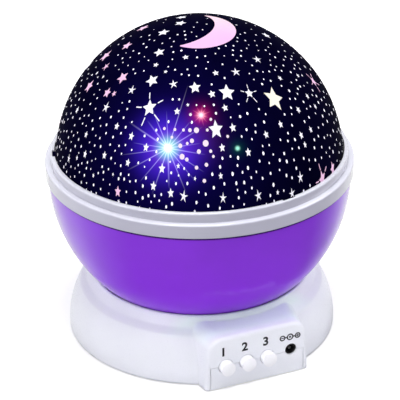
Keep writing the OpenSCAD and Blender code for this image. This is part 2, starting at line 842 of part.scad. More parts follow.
// The square part of the jack, larger by the gap on each side
module jack_block(gap) {
    half = jack_body / 2 + gap;
    block([jack_x - half, flange_gap - panel_in, jack_z - half],
        [jack_x + half, -board_front, jack_z + half]);
}
module dc_jack_body() {
    recess = 0.6;
    color([0.08, 0.08, 0.09]) difference() {
        union() {
            jack_block(0);
            rod_y(jack_x, jack_z, recess - panel_y, base_wall + flange_gap + cut - recess,
                jack_nose_d / 2);
        }
        rod_y(jack_x, jack_z, -panel_y, panel_y - board_front - 1, jack_hole_d / 2);
    }
}
module dc_jack_pin() {
    color("silver") rod_y(jack_x, jack_z, 1.4 - panel_y, panel_y - board_front - 2.4, jack_pin_d / 2);
}

module gear_deck() {
    color([0.85, 0.85, 0.87]) difference() {
        union() {
            translate([0, 0, deck_z]) linear_extrude(deck_t) hull() {
                circle(deck_r);
                translate(motor_at) circle(motor_d / 2 + 1);
                translate(first_at) circle(6);
                translate(deck_posts[3]) circle(deck_post_r + 1.5);
            }
            for (at = [first_at, second_at]) rod(at, deck_top - 0.1, 0.25, 2);
        }
        rod([0, 0], deck_z - cut, deck_t + 2 * cut, post_d / 2 + run_gap);
        rod(motor_at, deck_z - cut, deck_t + 2 * cut, 3 + fit_gap);
        for (at = [first_at, second_at]) rod(at, deck_z - cut, deck_t + 2 * cut, axle_d / 2 + run_gap);
        for (at = deck_posts) {
            rod(at, deck_z - cut, deck_t + 2 * cut, small_screw_d / 2 + fit_gap);
            sunk_hole(at, deck_z, small_screw_d);
        }
        for (at = motor_screw_places()) {
            rod(at, deck_z - cut, deck_t + 2 * cut, small_screw_d / 2 + fit_gap);
            translate([0, 0, 2 * deck_top]) mirror([0, 0, 1])
                sunk_hole(at, deck_top, small_screw_d);
        }
    }
}
function motor_screw_places() =
    [for (turn = [0, 180]) motor_at + polar(motor_screw_r, motor_screw_angle + turn)];
module deck_screws() {
    color("silver") for (at = deck_posts) sunk_screw_up(at, deck_z, floor_z - deck_z - 1.5, small_screw_d);
}

module motor_can() {
    z = deck_z - motor_h;
    color("silver") difference() {
        union() {
            rod(motor_at, z + 2, motor_h - 2, motor_d / 2);
            rod(motor_at, deck_z - cut, cut + 1, 3);
        }
        rod(motor_at, z + 1, motor_h + 2 * cut, motor_shaft_d / 2 + run_gap);
        for (at = motor_screw_places()) rod(at, deck_z - 3, 3 + cut, small_screw_d / 2 + thread_gap);
    }
}
module motor_end_cap() {
    z = deck_z - motor_h;
    color([0.1, 0.1, 0.1]) difference() {
        union() {
            rod(motor_at, z, 2, motor_d / 2 - 0.3);
            block([motor_at[0] - 4, motor_at[1] - motor_d / 2 - 1.5, z],
                [motor_at[0] + 4, motor_at[1] - motor_d / 2 + 3, z + 2]);
        }
        rod(motor_at, z + 1, 2, motor_shaft_d / 2 + run_gap);
    }
}
module motor_screws() {
    color("silver") for (at = motor_screw_places())
        translate([0, 0, 2 * deck_top]) mirror([0, 0, 1])
            sunk_screw_up(at, deck_top, deck_t + 2.5, small_screw_d);
}
module motor_shaft() {
    z = deck_z - motor_h + 1.1;
    color("silver") rod(motor_at, z, lower_z + gear_t - z, motor_shaft_d / 2);
}
module motor_pinion() {
    color([0.85, 0.7, 0.35]) difference() {
        gear(motor_at, motor_turn, pinion_teeth, lower_z, gear_t);
        rod(motor_at, lower_z - cut, gear_t + 2 * cut, motor_shaft_d / 2);
    }
}

// The wheel is on the lower layer and the pinion on the upper one
module first_gear() {
    color([0.95, 0.95, 0.9]) difference() {
        union() {
            gear(first_at, first_turn, first_wheel_teeth, lower_z, gear_t);
            gear(first_at, first_turn, pinion_teeth, lower_z + gear_t - 0.1, layer_gap + gear_t + 0.1);
        }
        rod(first_at, lower_z - cut, 3 * gear_t + 2 * cut, axle_d / 2 + run_gap);
    }
}
// The pinion is on the lower layer and the wheel on the upper one
module second_gear() {
    color([0.95, 0.95, 0.9]) difference() {
        union() {
            gear(second_at, second_turn, pinion_teeth, lower_z, gear_t + layer_gap + 0.1);
            gear(second_at, second_turn, second_wheel_teeth, upper_z, gear_t);
        }
        rod(second_at, lower_z - cut, 3 * gear_t + 2 * cut, axle_d / 2 + run_gap);
    }
}
module gear_axles() {
    color("silver") for (at = [first_at, second_at])
        rod(at, deck_z, axle_top - deck_z, axle_d / 2);
}

module hub_bush() {
    color([0.8, 0.6, 0.3]) difference() {
        union() {
            rod([0, 0], floor_z, floor_t, hub_d / 2 + run_gap + bush_wall);
            rod([0, 0], floor_top, bush_flange_t, hub_d / 2 + 7);
        }
        rod([0, 0], floor_z - cut, floor_t + 2 * cut, hub_d / 2 + run_gap);
    }
}

module drive_hub() {
    color([0.95, 0.95, 0.9]) difference() {
        union() {
            gear([0, 0], 0, hub_teeth, lower_z, gear_t);
            rod([0, 0], lower_z, bowl_bottom - lower_z, hub_d / 2);
        }
        rod([0, 0], lower_z - cut, bowl_bottom - lower_z + 2 * cut, hub_bore_r);
        for (angle = hub_screw_angles)
            rod(polar(hub_screw_r, angle), bowl_bottom - 3.2, 3.2 + cut, small_screw_d / 2 + thread_gap);
    }
}
module hub_plate() {
    color([0.9, 0.9, 0.95]) difference() {
        rod([0, 0], bowl_bottom + bowl_floor_t, hub_plate_t, hub_plate_r);
        hub_holes(bowl_bottom + bowl_floor_t, hub_plate_t);
    }
}
// Holes through a layer that the post and the hub's screws pass
module hub_holes(z, h) {
    rod([0, 0], z - cut, h + 2 * cut, hub_bore_r);
    for (angle = hub_screw_angles)
        rod(polar(hub_screw_r, angle), z - cut, h + 2 * cut, small_screw_d / 2 + fit_gap);
}
module hub_screws() {
    color("silver") for (angle = hub_screw_angles)
        screw_down(polar(hub_screw_r, angle), bowl_bottom + bowl_floor_t + hub_plate_t,
            hub_plate_t + bowl_floor_t + 3, small_screw_d);
}

module bowl() {
    edge = 1;
    color([0.45, 0.18, 0.8]) difference() {
        union() {
            rotate_extrude($fn = 180) difference() {
                intersection() {
                    translate([0, globe_z]) circle(bowl_r, $fn = 240);
                    translate([0, bowl_bottom]) square([bowl_r + cut, rim_z - bowl_bottom]);
                }
                intersection() {
                    translate([0, globe_z]) circle(bowl_r - bowl_wall, $fn = 240);
                    translate([0, bowl_bottom + bowl_floor_t])
                        square([bowl_r + cut, rim_z - bowl_bottom]);
                }
                translate([bowl_r - edge, rim_z - rim_shadow]) square([2 * edge, rim_shadow + cut]);
            }
            rim_bosses();
        }
        hub_holes(bowl_bottom, bowl_floor_t);
        for (angle = rim_screw_angles)
            rod(polar(rim_screw_r, angle), rim_z - 7.5, 7.5 + cut, screw_d / 2 + thread_gap);
    }
}
// Bosses inside the bowl's rim, joined to its wall by a rib
module rim_bosses() {
    intersection() {
        translate([0, 0, globe_z]) sphere(bowl_r - bowl_wall / 2, $fn = 180);
        for (angle = rim_screw_angles) rotate([0, 0, angle]) {
            rod([rim_screw_r, 0], rim_z - rim_boss_h, rim_boss_h, rim_boss_r);
            block([rim_screw_r, -1.2, rim_z - rim_boss_h], [bowl_r, 1.2, rim_z - 0.8]);
        }
    }
}

module rim_ring() {
    color([0.86, 0.86, 0.93]) difference() {
        rotate_extrude($fn = 180) difference() {
            union() {
                translate([rim_flange_r, rim_z]) square([rim_r - 1 - rim_flange_r, rim_flange_t]);
                rounded_tier(rim_r, rim_z, ledge_z);
                rounded_tier(tier_r, ledge_z - 2, rim_top);
            }
            translate([0, flange_top]) square([lip_in_r, rim_top]);
        }
        for (i = [0 : lug_count - 1]) rotate([0, 0, lug_angle + i * 360 / lug_count])
            block([dome_r - 2, -lug_w / 2 - dome_gap, rim_top - lug_drop - lug_h - dome_gap],
                [dome_r + lug_out + dome_gap / 2, lug_w / 2 + dome_gap, rim_top + cut]);
        for (angle = rim_screw_angles)
            rod(polar(rim_screw_r, angle), rim_z - cut, rim_flange_t + 2 * cut, screw_d / 2 + fit_gap);
    }
}
// Half section of a ring tier whose outer radius is r, with its upper outer edge rounded
module rounded_tier(r, low, high) {
    e = rim_edge_r;
    inner = r - 6;
    translate([inner, low]) square([r - inner - e, high - low]);
    translate([inner, low]) square([r - inner, high - low - e]);
    translate([r - e, high - e]) circle(e);
}
module rim_screws() {
    color("silver") for (angle = rim_screw_angles)
        screw_down(polar(rim_screw_r, angle), flange_top, rim_flange_t + 6.5, screw_d);
}

// Half section of a half ball of radius r on a straight skirt that reaches down to low
module dome_outline(r, low) {
    intersection() {
        union() {
            translate([0, dome_z]) circle(r, $fn = 240);
            translate([0, low]) square([r, dome_z - low]);
        }
        translate([0, low]) square([2 * r, 2 * r]);
    }
}
module dome() {
    color([0.08, 0.05, 0.3, 0.6]) {
        rotate_extrude($fn = 180) difference() {
            dome_outline(dome_r, flange_top);
            dome_outline(dome_r - dome_wall, flange_top - cut);
        }
        for (i = [0 : lug_count - 1]) rotate([0, 0, lug_angle + i * 360 / lug_count]) intersection() {
            rotate_extrude() translate([dome_r - dome_wall / 2 - 0.3, rim_top - lug_drop - lug_h])
                square([dome_wall / 2 + 0.3 + lug_out, lug_h]);
            block([0, -lug_w / 2, 0], [2 * dome_r, lug_w / 2, 2 * rim_top]);
        }
    }
}

module lamp_post() {
    bore = post_bore_d / 2;
    color([0.92, 0.92, 0.94]) difference() {
        union() {
            rod([0, 0], post_flange_z, post_flange_t, post_flange_r);
            rod([0, 0], post_flange_z, lamp_z - post_flange_z, post_d / 2);
            rod([0, 0], lamp_z - lamp_pad_t, lamp_pad_t, lamp_pad_r);
        }
        rod([0, 0], post_flange_z - cut, lamp_z, bore);
        block([-3.4, -post_flange_r - cut, post_flange_z - cut], [3.4, 0, deck_z]);
        for (turn = [0, 180])
            rod(polar(lamp_screw_r + 1, turn), lamp_z - lamp_pad_t - cut, lamp_pad_t + 2 * cut,
                small_screw_d / 2 + thread_gap);
    }
}
module lamp_board() {
    color([0.95, 0.95, 0.95]) difference() {
        rod([0, 0], lamp_z, lamp_board_t, lamp_board_r);
        for (turn = [0, 180])
            rod(polar(lamp_screw_r + 1, turn), lamp_z - cut, lamp_board_t + 2 * cut,
                small_screw_d / 2 + fit_gap);
        rod([0, 0], lamp_z - cut, lamp_board_t + 2 * cut, 0.8);
    }
}
module lamp_screws() {
    color("silver") for (turn = [0, 180])
        screw_down(polar(lamp_screw_r + 1, turn), lamp_z + lamp_board_t, lamp_board_t + 3, small_screw_d);
}
// A round LED that stands on the lamp's circuit board
module led(at) {
    z = lamp_z + lamp_board_t;
    rod(at, z, 1, led_d / 2 + 0.4);
    rod(at, z, led_h - led_d / 2, led_d / 2);
    translate([at[0], at[1], z + led_h - led_d / 2]) sphere(led_d / 2);
}
module led_white() { color([1, 0.97, 0.85]) led([0, 0]); }
module led_red() { color([1, 0.1, 0.15]) led(polar(led_ring_r, red_angle)); }
module led_green() { color([0.1, 0.9, 0.3]) led(polar(led_ring_r, green_angle)); }
module led_blue() { color([0.2, 0.4, 1]) led(polar(led_ring_r, blue_angle)); }
module lamp_resistors() {
    color([0.2, 0.2, 0.2]) for (angle = [red_angle, green_angle, blue_angle])
        translate([0, 0, lamp_z + lamp_board_t]) rotate([0, 0, angle - 30])
            block([led_ring_r - 4, -0.6, 0], [led_ring_r - 2, 0.6, 0.6]);
}

// Five wires from the control board under the deck and up the post to the lamp
module lamp_wires() {
    pitch = wire_d + 0.2;
    run_z = post_flange_z + post_flange_t / 2;
    color([0.8, 0.2, 0.2]) for (i = [-2 : 2]) wire([
        [i * pitch - 1, -board_back, run_z], [i * pitch - 1, 2 - board_back, run_z],
        [i * pitch, -14, run_z], [i * pitch, -1.6, run_z], [i * pitch, -1.6, lamp_z]
    ]);
}
module motor_wires() {
    z = deck_z - motor_h + 1;
    color([0.15, 0.15, 0.6]) for (side = [-1, 1]) wire([
        [motor_at[0] + 2 * side, -board_back, z + 2], [motor_at[0] + 2 * side, 3 - board_back, z + 2],
        [motor_at[0] + 2 * side, motor_at[1] - motor_d / 2 - 2.7, z],
        [motor_at[0] + 2 * side, motor_at[1] - motor_d / 2 - 1.5, z]
    ]);
}
module battery_wires() {
    last = cell_count - 1;
    color([0.1, 0.1, 0.1]) {
        wire([
            [-bay_x - 2, cell_y(0), cell_z], [-bay_x - 4, cell_y(0), cell_z],
            [-bay_x - 4, -20, cell_z], [-14, 5 - board_back, 7], [-14, -board_back, 7]
        ]);
        wire([
            [-bay_x - 2, cell_y(last), cell_z], [-bay_x - 5.5, cell_y(last), cell_z],
            [-bay_x - 5.5, -21, cell_z - 1.5], [-12, 3.5 - board_back, 5.5],
            [-12, -board_back, 5.5]
        ]);
    }
}

base_housing();
bottom_cover();
battery_door();
battery_door_screw();
aaa_cells();
contact_plates();
contact_springs();
cover_screws();
rubber_feet();
control_board();
control_chip();
board_capacitor();
board_resistors();
tact_switches();
button_left();
button_middle();
button_right();
plunger_left();
plunger_middle();
plunger_right();
dc_jack_body();
dc_jack_pin();
gear_deck();
deck_screws();
motor_can();
motor_end_cap();
motor_screws();
motor_shaft();
motor_pinion();
first_gear();
second_gear();
gear_axles();
hub_bush();
drive_hub();
hub_plate();
hub_screws();
bowl();
rim_ring();
rim_screws();
dome();
lamp_post();
lamp_board();
lamp_screws();
led_white();
led_red();
led_green();
led_blue();
lamp_resistors();
lamp_wires();
motor_wires();
battery_wires();
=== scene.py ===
import json
import math
import random

import bpy
from mathutils import Matrix, Vector


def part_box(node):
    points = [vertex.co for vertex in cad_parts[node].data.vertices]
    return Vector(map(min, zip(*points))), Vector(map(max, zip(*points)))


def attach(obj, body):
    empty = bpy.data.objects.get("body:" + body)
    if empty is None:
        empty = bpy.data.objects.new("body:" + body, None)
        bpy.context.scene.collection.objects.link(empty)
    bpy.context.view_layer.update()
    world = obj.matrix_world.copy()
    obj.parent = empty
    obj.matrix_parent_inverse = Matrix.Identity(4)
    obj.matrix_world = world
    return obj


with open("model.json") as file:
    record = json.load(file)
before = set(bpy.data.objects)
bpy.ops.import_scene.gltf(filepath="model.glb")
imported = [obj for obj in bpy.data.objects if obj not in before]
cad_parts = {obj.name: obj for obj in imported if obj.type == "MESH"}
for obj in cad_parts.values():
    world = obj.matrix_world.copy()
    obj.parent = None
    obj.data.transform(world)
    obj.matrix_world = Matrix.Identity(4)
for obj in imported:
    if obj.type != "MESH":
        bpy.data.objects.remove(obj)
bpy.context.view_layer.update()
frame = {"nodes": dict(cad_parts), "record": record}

MM = 0.001
UP = Vector((0, 0, 1))
scene = bpy.context.scene

# ---------------------------------------------------------------- sizes and directions
DOME_R = 60.5 * MM
DOME_WALL = 1.6 * MM
DOME_MID = Vector((0, 0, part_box("dome")[1].z - DOME_R))
PANEL_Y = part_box("bottom_cover")[0].y
BOWL_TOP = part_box("bowl")[1].z
# The photograph was taken from this side. FRONT points level to the camera, SIDE to its right
SPIN = Matrix.Rotation(math.radians(-22.77), 3, "Z")
FRONT = SPIN @ Vector((0, -1, 0))
SIDE = Vector((-FRONT.y, FRONT.x, 0))


def node_mid(name):
    low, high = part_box(name)
    return (low + high) / 2


def added(name, data):
    """A new object in the scene."""
    obj = bpy.data.objects.new(name, data)
    scene.collection.objects.link(obj)
    return obj


def mesh_of(name, points, faces):
    mesh = bpy.data.meshes.new(name)
    mesh.from_pydata(points, [], faces)
    mesh.validate()
    return mesh


# ---------------------------------------------------------------- node helpers
NOISE_RANGE = (0.3, 0.7)  # nearly all of a noise lies in it


class Tree:
    """The nodes of a material or of the world."""

    def __init__(self, tree):
        self.tree = tree
        tree.nodes.clear()

    def add(self, kind, inputs=None, **settings):
        """A new node, with its inputs by name or number, and its settings."""
        node = self.tree.nodes.new(kind)
        for key, value in settings.items():
            setattr(node, key, value)
        for key, value in (inputs or {}).items():
            self.put(node.inputs[key], value)
        return node

    def put(self, socket, value):
        """Feeds a socket with another socket or a plain value."""
        if isinstance(value, bpy.types.NodeSocket):
            self.tree.links.new(value, socket)
        else:
            socket.default_value = value

    def math(self, operation, a, b=0.0):
        return self.add("ShaderNodeMath", {0: a, 1: b}, operation=operation).outputs[0]

    def product(self, first, *others):
        for other in others:
            first = self.math("MULTIPLY", first, other)
        return first

    def vector(self, operation, a, b, out=0):
        return self.add("ShaderNodeVectorMath", {0: a, 1: b}, operation=operation).outputs[out]

    def dot(self, a, b):
        return self.vector("DOT_PRODUCT", a, b, out=1)

    def span(self, value, low, high, to_low, to_high):
        """Maps low to high onto to_low to to_high, and holds it there."""
        return self.add("ShaderNodeMapRange", {
            "Value": value, "From Min": low, "From Max": high, "To Min": to_low,
            "To Max": to_high}).outputs["Result"]

    def rays(self):
        """The kinds of ray, and 1 for those from the camera or through glass."""
        kinds = self.add("ShaderNodeLightPath").outputs
        return kinds, self.math("MAXIMUM", kinds["Is Camera Ray"], kinds["Is Transmission Ray"])


class Shader(Tree):
    """A node material that starts as a principled shader."""

    def __init__(self, name):
        self.material = bpy.data.materials.new(name)
        self.material.use_nodes = True
        super().__init__(self.material.node_tree)
        self.out = self.add("ShaderNodeOutputMaterial")
        self.bsdf = self.add("ShaderNodeBsdfPrincipled")
        self.put(self.out.inputs["Surface"], self.bsdf.outputs["BSDF"])
        self.place = self.add("ShaderNodeTexCoord").outputs["Object"]

    def axes(self, vector=None):
        """X, Y and Z of a vector, or else of the place in the piece's own frame."""
        return self.add("ShaderNodeSeparateXYZ", {"Vector": vector or self.place}).outputs

    def mapped(self, scale, turn=(0, 0, 0)):
        """The place in the piece's own frame, scaled and turned."""
        return self.add("ShaderNodeMapping", {
            "Vector": self.place, "Scale": scale, "Rotation": turn}).outputs["Vector"]

    def noise(self, per_mm, detail=2.0, stretch=(1, 1, 1)):
        """Noise with so many features to the millimetre."""
        return self.add("ShaderNodeTexNoise", {
            "Vector": self.mapped([per_mm * s / MM for s in stretch]), "Scale": 1.0,
            "Detail": detail}).outputs["Fac"]

    def vary(self, noise, low, high):
        """Turns a noise into numbers from low to high."""
        return self.span(noise, *NOISE_RANGE, low, high)

    def ramp(self, fac, low, high, places=NOISE_RANGE):
        """Fades from one colour to another."""
        node = self.add("ShaderNodeValToRGB", {"Fac": fac})
        for element, place, colour in zip(node.color_ramp.elements, places, (low, high)):
            element.position = place
            element.color = (*colour, 1)
        return node.outputs["Color"]

    def mix(self, fac, a, b):
        a, b = ((*c, 1) if isinstance(c, tuple) else c for c in (a, b))
        return self.add("ShaderNodeMix", {0: fac, 6: a, 7: b}, data_type="RGBA").outputs[2]

    def add_colours(self, a, b):
        return self.add("ShaderNodeMix", {0: 1.0, 6: a, 7: b}, data_type="RGBA",
                        blend_type="ADD").outputs[2]

    def times(self, colour, fac):
        """A plain colour times a varying strength."""
        return self.add("ShaderNodeVectorMath", {0: colour, "Scale": fac},
                        operation="SCALE").outputs[0]

    def set(self, **values):
        """Feeds the principled shader, with Base_Color for Base Color."""
        for key, value in values.items():
            self.put(self.bsdf.inputs[key.replace("_", " ")], value)
        return self

    def tint(self, fac, colour):
        """Mixes the base colour so far with a plain one."""
        base = self.bsdf.inputs["Base Color"].links[0].from_socket
        return self.set(Base_Color=self.mix(fac, base, colour))

    def bump(self, height, strength, depth_mm, round_mm=0.0):
        """Fine relief; edges also look rounded by round_mm."""
        node = self.add("ShaderNodeBump", {
            "Height": height, "Strength": strength, "Distance": depth_mm * MM})
        if round_mm:
            self.bevel = self.add("ShaderNodeBevel", {"Radius": round_mm * MM}, samples=6)
            self.put(node.inputs["Normal"], self.bevel.outputs["Normal"])
        return self.set(Normal=node.outputs["Normal"])


def shade(colour, factor):
    return tuple(min(1.0, c * factor) for c in colour)


def plastic(name, colour, rough, grain, depth_mm, drift=0.03, ior=1.46, round_mm=0.0):
    """Moulded plastic: the colour drifts a little over the piece, and a grain of so many
    features to the millimetre breaks the gloss."""
    s = Shader(name)
    cloud, fine = s.noise(0.03, 3.0), s.noise(grain)
    s.set(Base_Color=s.ramp(cloud, shade(colour, 1 - drift), shade(colour, 1 + drift)),
          Roughness=s.vary(fine, rough - 0.04, rough + 0.05), IOR=ior)
    return s.bump(fine, 0.35, depth_mm, round_mm)


def metal(name, colour, rough):
    """Plated or turned metal with fine streaks."""
    s = Shader(name)
    streak = s.noise(1.5, 3.0, (1, 1, 12))
    s.set(Base_Color=s.ramp(streak, shade(colour, 0.88), shade(colour, 1.06)),
          Metallic=1.0, Roughness=s.vary(streak, rough - 0.08, rough + 0.1))
    return s.bump(streak, 0.25, 0.006)


# ---------------------------------------------------------------- materials of the record's slots
def white_abs():
    """Bluish white. On top of the control box the colour is painted greener, to cancel the purple
    light that the bowl throws there. Edges look well rounded, apart from the seams in the control
    panel."""
    edge_mm, seam_mm = 1.6, 0.1
    s = plastic("white_abs", (0.845, 0.86, 0.925), 0.3, 2.5, 0.003, round_mm=edge_mm)
    x, y, z = s.axes()
    painted_box_top = s.product(s.span(z, 19 * MM, 24 * MM, 0.0, 1.0),
                        s.span(y, PANEL_Y + 1 * MM, PANEL_Y + 5 * MM, 0.0, 1.0),
                        s.span(y, PANEL_Y + 17 * MM, PANEL_Y + 21 * MM, 1.0, 0.0))
    # Painted light: a greener tint on top of the control box cancels the purple light thrown
    # there by the bowl
    s.tint(painted_box_top, (0.84, 0.96, 0.93))
    panel = s.product(s.math("LESS_THAN", y, PANEL_Y + 1.5 * MM),
                      s.math("LESS_THAN", z, 16 * MM),
                      s.math("LESS_THAN", s.math("ABSOLUTE", x), 21.6 * MM))
    s.put(s.bevel.inputs["Radius"], s.span(panel, 0.0, 1.0, edge_mm * MM, seam_mm * MM))
    return s


def purple_abs():
    """Glossy moulding, with a painted shadow in the gap under the ring, and duller towards its
    foot.
    """
    s = plastic("purple_abs", (0.225, 0.032, 0.67), 0.16, 2.0, 0.002, drift=0.05, ior=1.38)
    _, _, z = s.axes()
    # Painted shadow: a dark band on the bowl just under the ring
    gap = s.span(z, BOWL_TOP - 1.45 * MM, BOWL_TOP - 1.1 * MM, 0.0, 0.95)
    s.tint(gap, (0.03, 0.006, 0.09))
    polish = s.span(z, 40 * MM, 62 * MM, 0.05, 1.0)
    return s.set(Specular_IOR_Level=s.math("MULTIPLY", polish, 0.5), Coat_Roughness=0.1,
                 Coat_IOR=1.38, Coat_Weight=s.math("MULTIPLY", polish, 0.85),
                 Sheen_Weight=0.35, Sheen_Roughness=0.25)


def ring_white():
    """Greyish white under a clear coat, with painted light that makes it paler where it faces up.
    """
    s = plastic("ring_white", (0.46, 0.455, 0.55), 0.2, 2.5, 0.003, round_mm=0.45)
    # Painted light: faces that point up get a paler colour, as if lit from above
    up = s.dot(s.bevel.outputs["Normal"], UP)
    s.tint(s.span(up, 0.15, 0.85, 0.0, 1.0), (0.60, 0.60, 0.69))
    return s.set(Coat_Weight=1.0, Coat_Roughness=0.06)


def natural_nylon():
    s = plastic("natural_nylon", (0.82, 0.80, 0.72), 0.42, 1.5, 0.008)
    return s.set(Subsurface_Weight=0.15, Subsurface_Scale=0.002)


def button_white():
    return plastic("button_white", (0.90, 0.90, 0.94), 0.3, 2.5, 0.003)


def black_plastic():
    return plastic("black_plastic", (0.015, 0.015, 0.018), 0.38, 2.0, 0.008, drift=0.2)


def rubber_pad():
    return plastic("rubber_pad", (0.03, 0.03, 0.032), 0.75, 1.2, 0.03, drift=0.25)


def wire_cover():
    return plastic("wire_cover", (0.45, 0.03, 0.03), 0.45, 2.0, 0.01, drift=0.1)


def steel():
    return metal("steel", (0.60, 0.60, 0.62), 0.3)


def brass_part():
    return metal("brass_part", (0.72, 0.50, 0.20), 0.25)


def circuit(name, mask, track, turn):
    """A circuit board: tracks show as a net under the solder mask."""
    s = Shader(name)
    bricks = s.add("ShaderNodeTexBrick", {
        "Vector": s.mapped([1 / MM] * 3, turn), "Color1": (*mask, 1),
        "Color2": (*shade(mask, 0.92), 1), "Mortar": (*track, 1), "Scale": 1.0,
        "Mortar Size": 0.12, "Brick Width": 2.9, "Row Height": 1.7}, offset=0.37)
    s.set(Base_Color=bricks.outputs["Color"], Roughness=0.3)
    return s.bump(bricks.outputs["Fac"], 0.4, 0.02)


def circuit_green():
    """The upright control board."""
    return circuit("circuit_green", (0.01, 0.13, 0.05), (0.03, 0.25, 0.09), (math.pi / 2, 0, 0))


def circuit_white():
    """The level lamp board."""
    return circuit("circuit_white", (0.84, 0.84, 0.83), (0.74, 0.75, 0.72), (0, 0, 0))


def cell_wrap():
    """A plain wrapped cell with bare metal ends."""
    s = Shader("cell_wrap")
    across, _, _ = s.axes(s.add("ShaderNodeNewGeometry").outputs["Normal"])
    end = s.math("GREATER_THAN", s.math("ABSOLUTE", across), 0.8)
    x, _, _ = s.axes()
    wrap = s.mix(s.math("GREATER_THAN", x, 12 * MM), (0.03, 0.035, 0.05), (0.55, 0.30, 0.10))
    worn = s.noise(0.6, 3.0)
    s.set(Base_Color=s.mix(end, wrap, (0.6, 0.6, 0.6)), Metallic=end,
          Roughness=s.vary(worn, 0.25, 0.4))
    return s.bump(worn, 0.2, 0.01)


def lens(node, colour, strength):
    """A lit LED: its epoxy glows most at the tip, where its chip is focused."""
    s = Shader(node)
    low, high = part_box(node)
    _, _, z = s.axes()
    up = s.span(z, low.z, high.z, 0.0, 1.0)
    glow = s.product(s.math("POWER", up, 1.5), s.vary(s.noise(1.2), 0.9, 1.1))
    return s.set(Base_Color=s.ramp(up, shade(colour, 0.6), colour, (0.0, 1.0)), Roughness=0.15,
                 Emission_Color=s.times(colour, glow), Emission_Strength=strength)


def led_warm():
    return lens("led_white", (1.0, 0.9, 0.75), 1.6)


def led_red_lens():
    return lens("led_red", (1.0, 0.05, 0.12), 5.0)


def led_green_lens():
    return lens("led_green", (0.05, 0.9, 0.3), 3.0)


def led_blue_lens():
    return lens("led_blue", (0.35, 0.6, 1.0), 9.0)


# ---------------------------------------------------------------- the printed dome
# Where the painted glow of each LED sits on the dome, and the middle of the painted haze between
# them
BLUE_AT = Vector((-31.3, -42.7, 106.4)) * MM
RED_AT = Vector((-16.7, -41.9, 117.5)) * MM
GREEN_AT = Vector((-5.9, -53.0, 105.7)) * MM
HAZE_AT = Vector((-19.3, -46.9, 110.2)) * MM
# Painted rays of light: direction in degrees, length and width at the core in millimetres
BLUE_RAYS = [
    (70, 25, 0.26), (91, 14, 0.24), (112, 17, 0.3), (128, 13, 0.4), (149, 18, 0.45),
    (174, 14, 0.24), (191, 19, 0.26), (210, 19, 0.3), (230, 18, 0.26), (250, 20, 0.3),
    (270, 16, 0.42), (291, 19, 0.3), (309, 16, 0.26), (326, 17, 0.26), (350, 15, 0.3),
    (8, 13, 0.24), (30, 16, 0.3), (48, 14, 0.26)]
RED_RAYS = [(angle, length, 0.2) for angle, length in (
    (18, 4), (52, 3.2), (80, 4.2), (118, 3.4), (150, 3.8), (185, 3.2), (222, 3.8), (255, 3.4),
    (284, 4.2), (312, 3.6), (342, 3.2))]
RAYS_BACK = 18 * MM  # rays end this far behind the place where the light comes through


def dome_print():
    """Dark navy print. The light of the LEDs is painted on it as a glow round the places where it
    comes through, with painted rays from the blue one and the red one. All this painted light
    stays with the lamp while the dome turns."""
    s = Shader("dome_print")
    place = s.add("ShaderNodeNewGeometry").outputs["Position"]
    cloud, fine = s.noise(0.05, 4.0), s.noise(1.5)

    def fade(point, reach, power=1.0):
        """1 at the point, and 1 / e at a reach of so many millimetres."""
        far = s.vector("DISTANCE", place, point, out=1)
        if power == 1.0:
            return s.math("POWER", math.e, s.math("DIVIDE", far, -reach * MM))
        far = s.math("POWER", s.math("DIVIDE", far, reach * MM), power)
        return s.math("POWER", math.e, s.math("MULTIPLY", far, -1.0))

    def painted_rays_of(point, node, table):
        """Painted rays in a plane that faces halfway between the way out from the LED and FRONT.
        """
        out = (point - node_mid(node)).normalized()
        out = (out + FRONT).normalized()
        side = UP.cross(out).normalized()
        up = out.cross(side)
        off = s.vector("SUBTRACT", place, point)
        rays = None
        for angle, length, width in table:
            a = math.radians(angle)
            along = s.dot(off, side * math.cos(a) + up * math.sin(a))
            across = s.dot(off, up * math.cos(a) - side * math.sin(a))
            ray = s.product(s.span(s.math("ABSOLUTE", across), 0.0, width * MM, 1.0, 0.0),
                            s.math("GREATER_THAN", along, 0.0),
                            s.span(along, 0.0, length * MM, 1.0, 0.0))
            rays = ray if rays is None else s.math("ADD", rays, ray)
        ahead = s.math("GREATER_THAN", s.dot(off, out), -RAYS_BACK)
        return s.product(s.math("MINIMUM", rays, 1.0), ahead)

    # Painted light: the glow, haze and rays of the LEDs are given to the print as emission
    light = s.times((0.028, 0.013, 0.60),
                    s.product(fade(BLUE_AT, 13.6, 3.0), s.vary(cloud, 0.8, 1.2)))
    for colour, part in (((0.006, 0.002, 0.16), fade(BLUE_AT, 14.0)),
                         ((0.62, 0.09, 0.03), fade(BLUE_AT, 3.2)),
                         ((0.02, 0.82, 0.04), fade(BLUE_AT, 4.2, 3.0)),
                         ((0.5, 0.2, 0.2), fade(BLUE_AT, 1.7, 3.0)),
                         ((0.60, 0.52, 0.80), painted_rays_of(BLUE_AT, "led_blue", BLUE_RAYS)),
                         ((0.035, 0.005, 0.04), fade(HAZE_AT, 8.0, 2.0)),
                         ((1.80, 0.010, 0.30), fade(RED_AT, 1.45)),
                         ((0.5, 0.95, 0.75), fade(RED_AT, 1.2, 2.0)),
                         ((0.8, 0.22, 0.35), painted_rays_of(RED_AT, "led_red", RED_RAYS)),
                         ((0.0, 0.08, 0.035), fade(GREEN_AT, 1.3)),
                         ((0.42, 1.05, 0.80), fade(GREEN_AT, 0.88, 3.0))):
        light = s.add_colours(light, s.times(colour, part))
    s.set(Base_Color=s.ramp(cloud, (0.0004, 0.0002, 0.005), (0.001, 0.0006, 0.011)),
          Roughness=s.vary(fine, 0.2, 0.28), IOR=1.45, Specular_IOR_Level=0.0,
          Sheen_Weight=0.02, Sheen_Roughness=0.3, Emission_Color=light, Emission_Strength=1.0)
    return s.bump(fine, 0.15, 0.002)


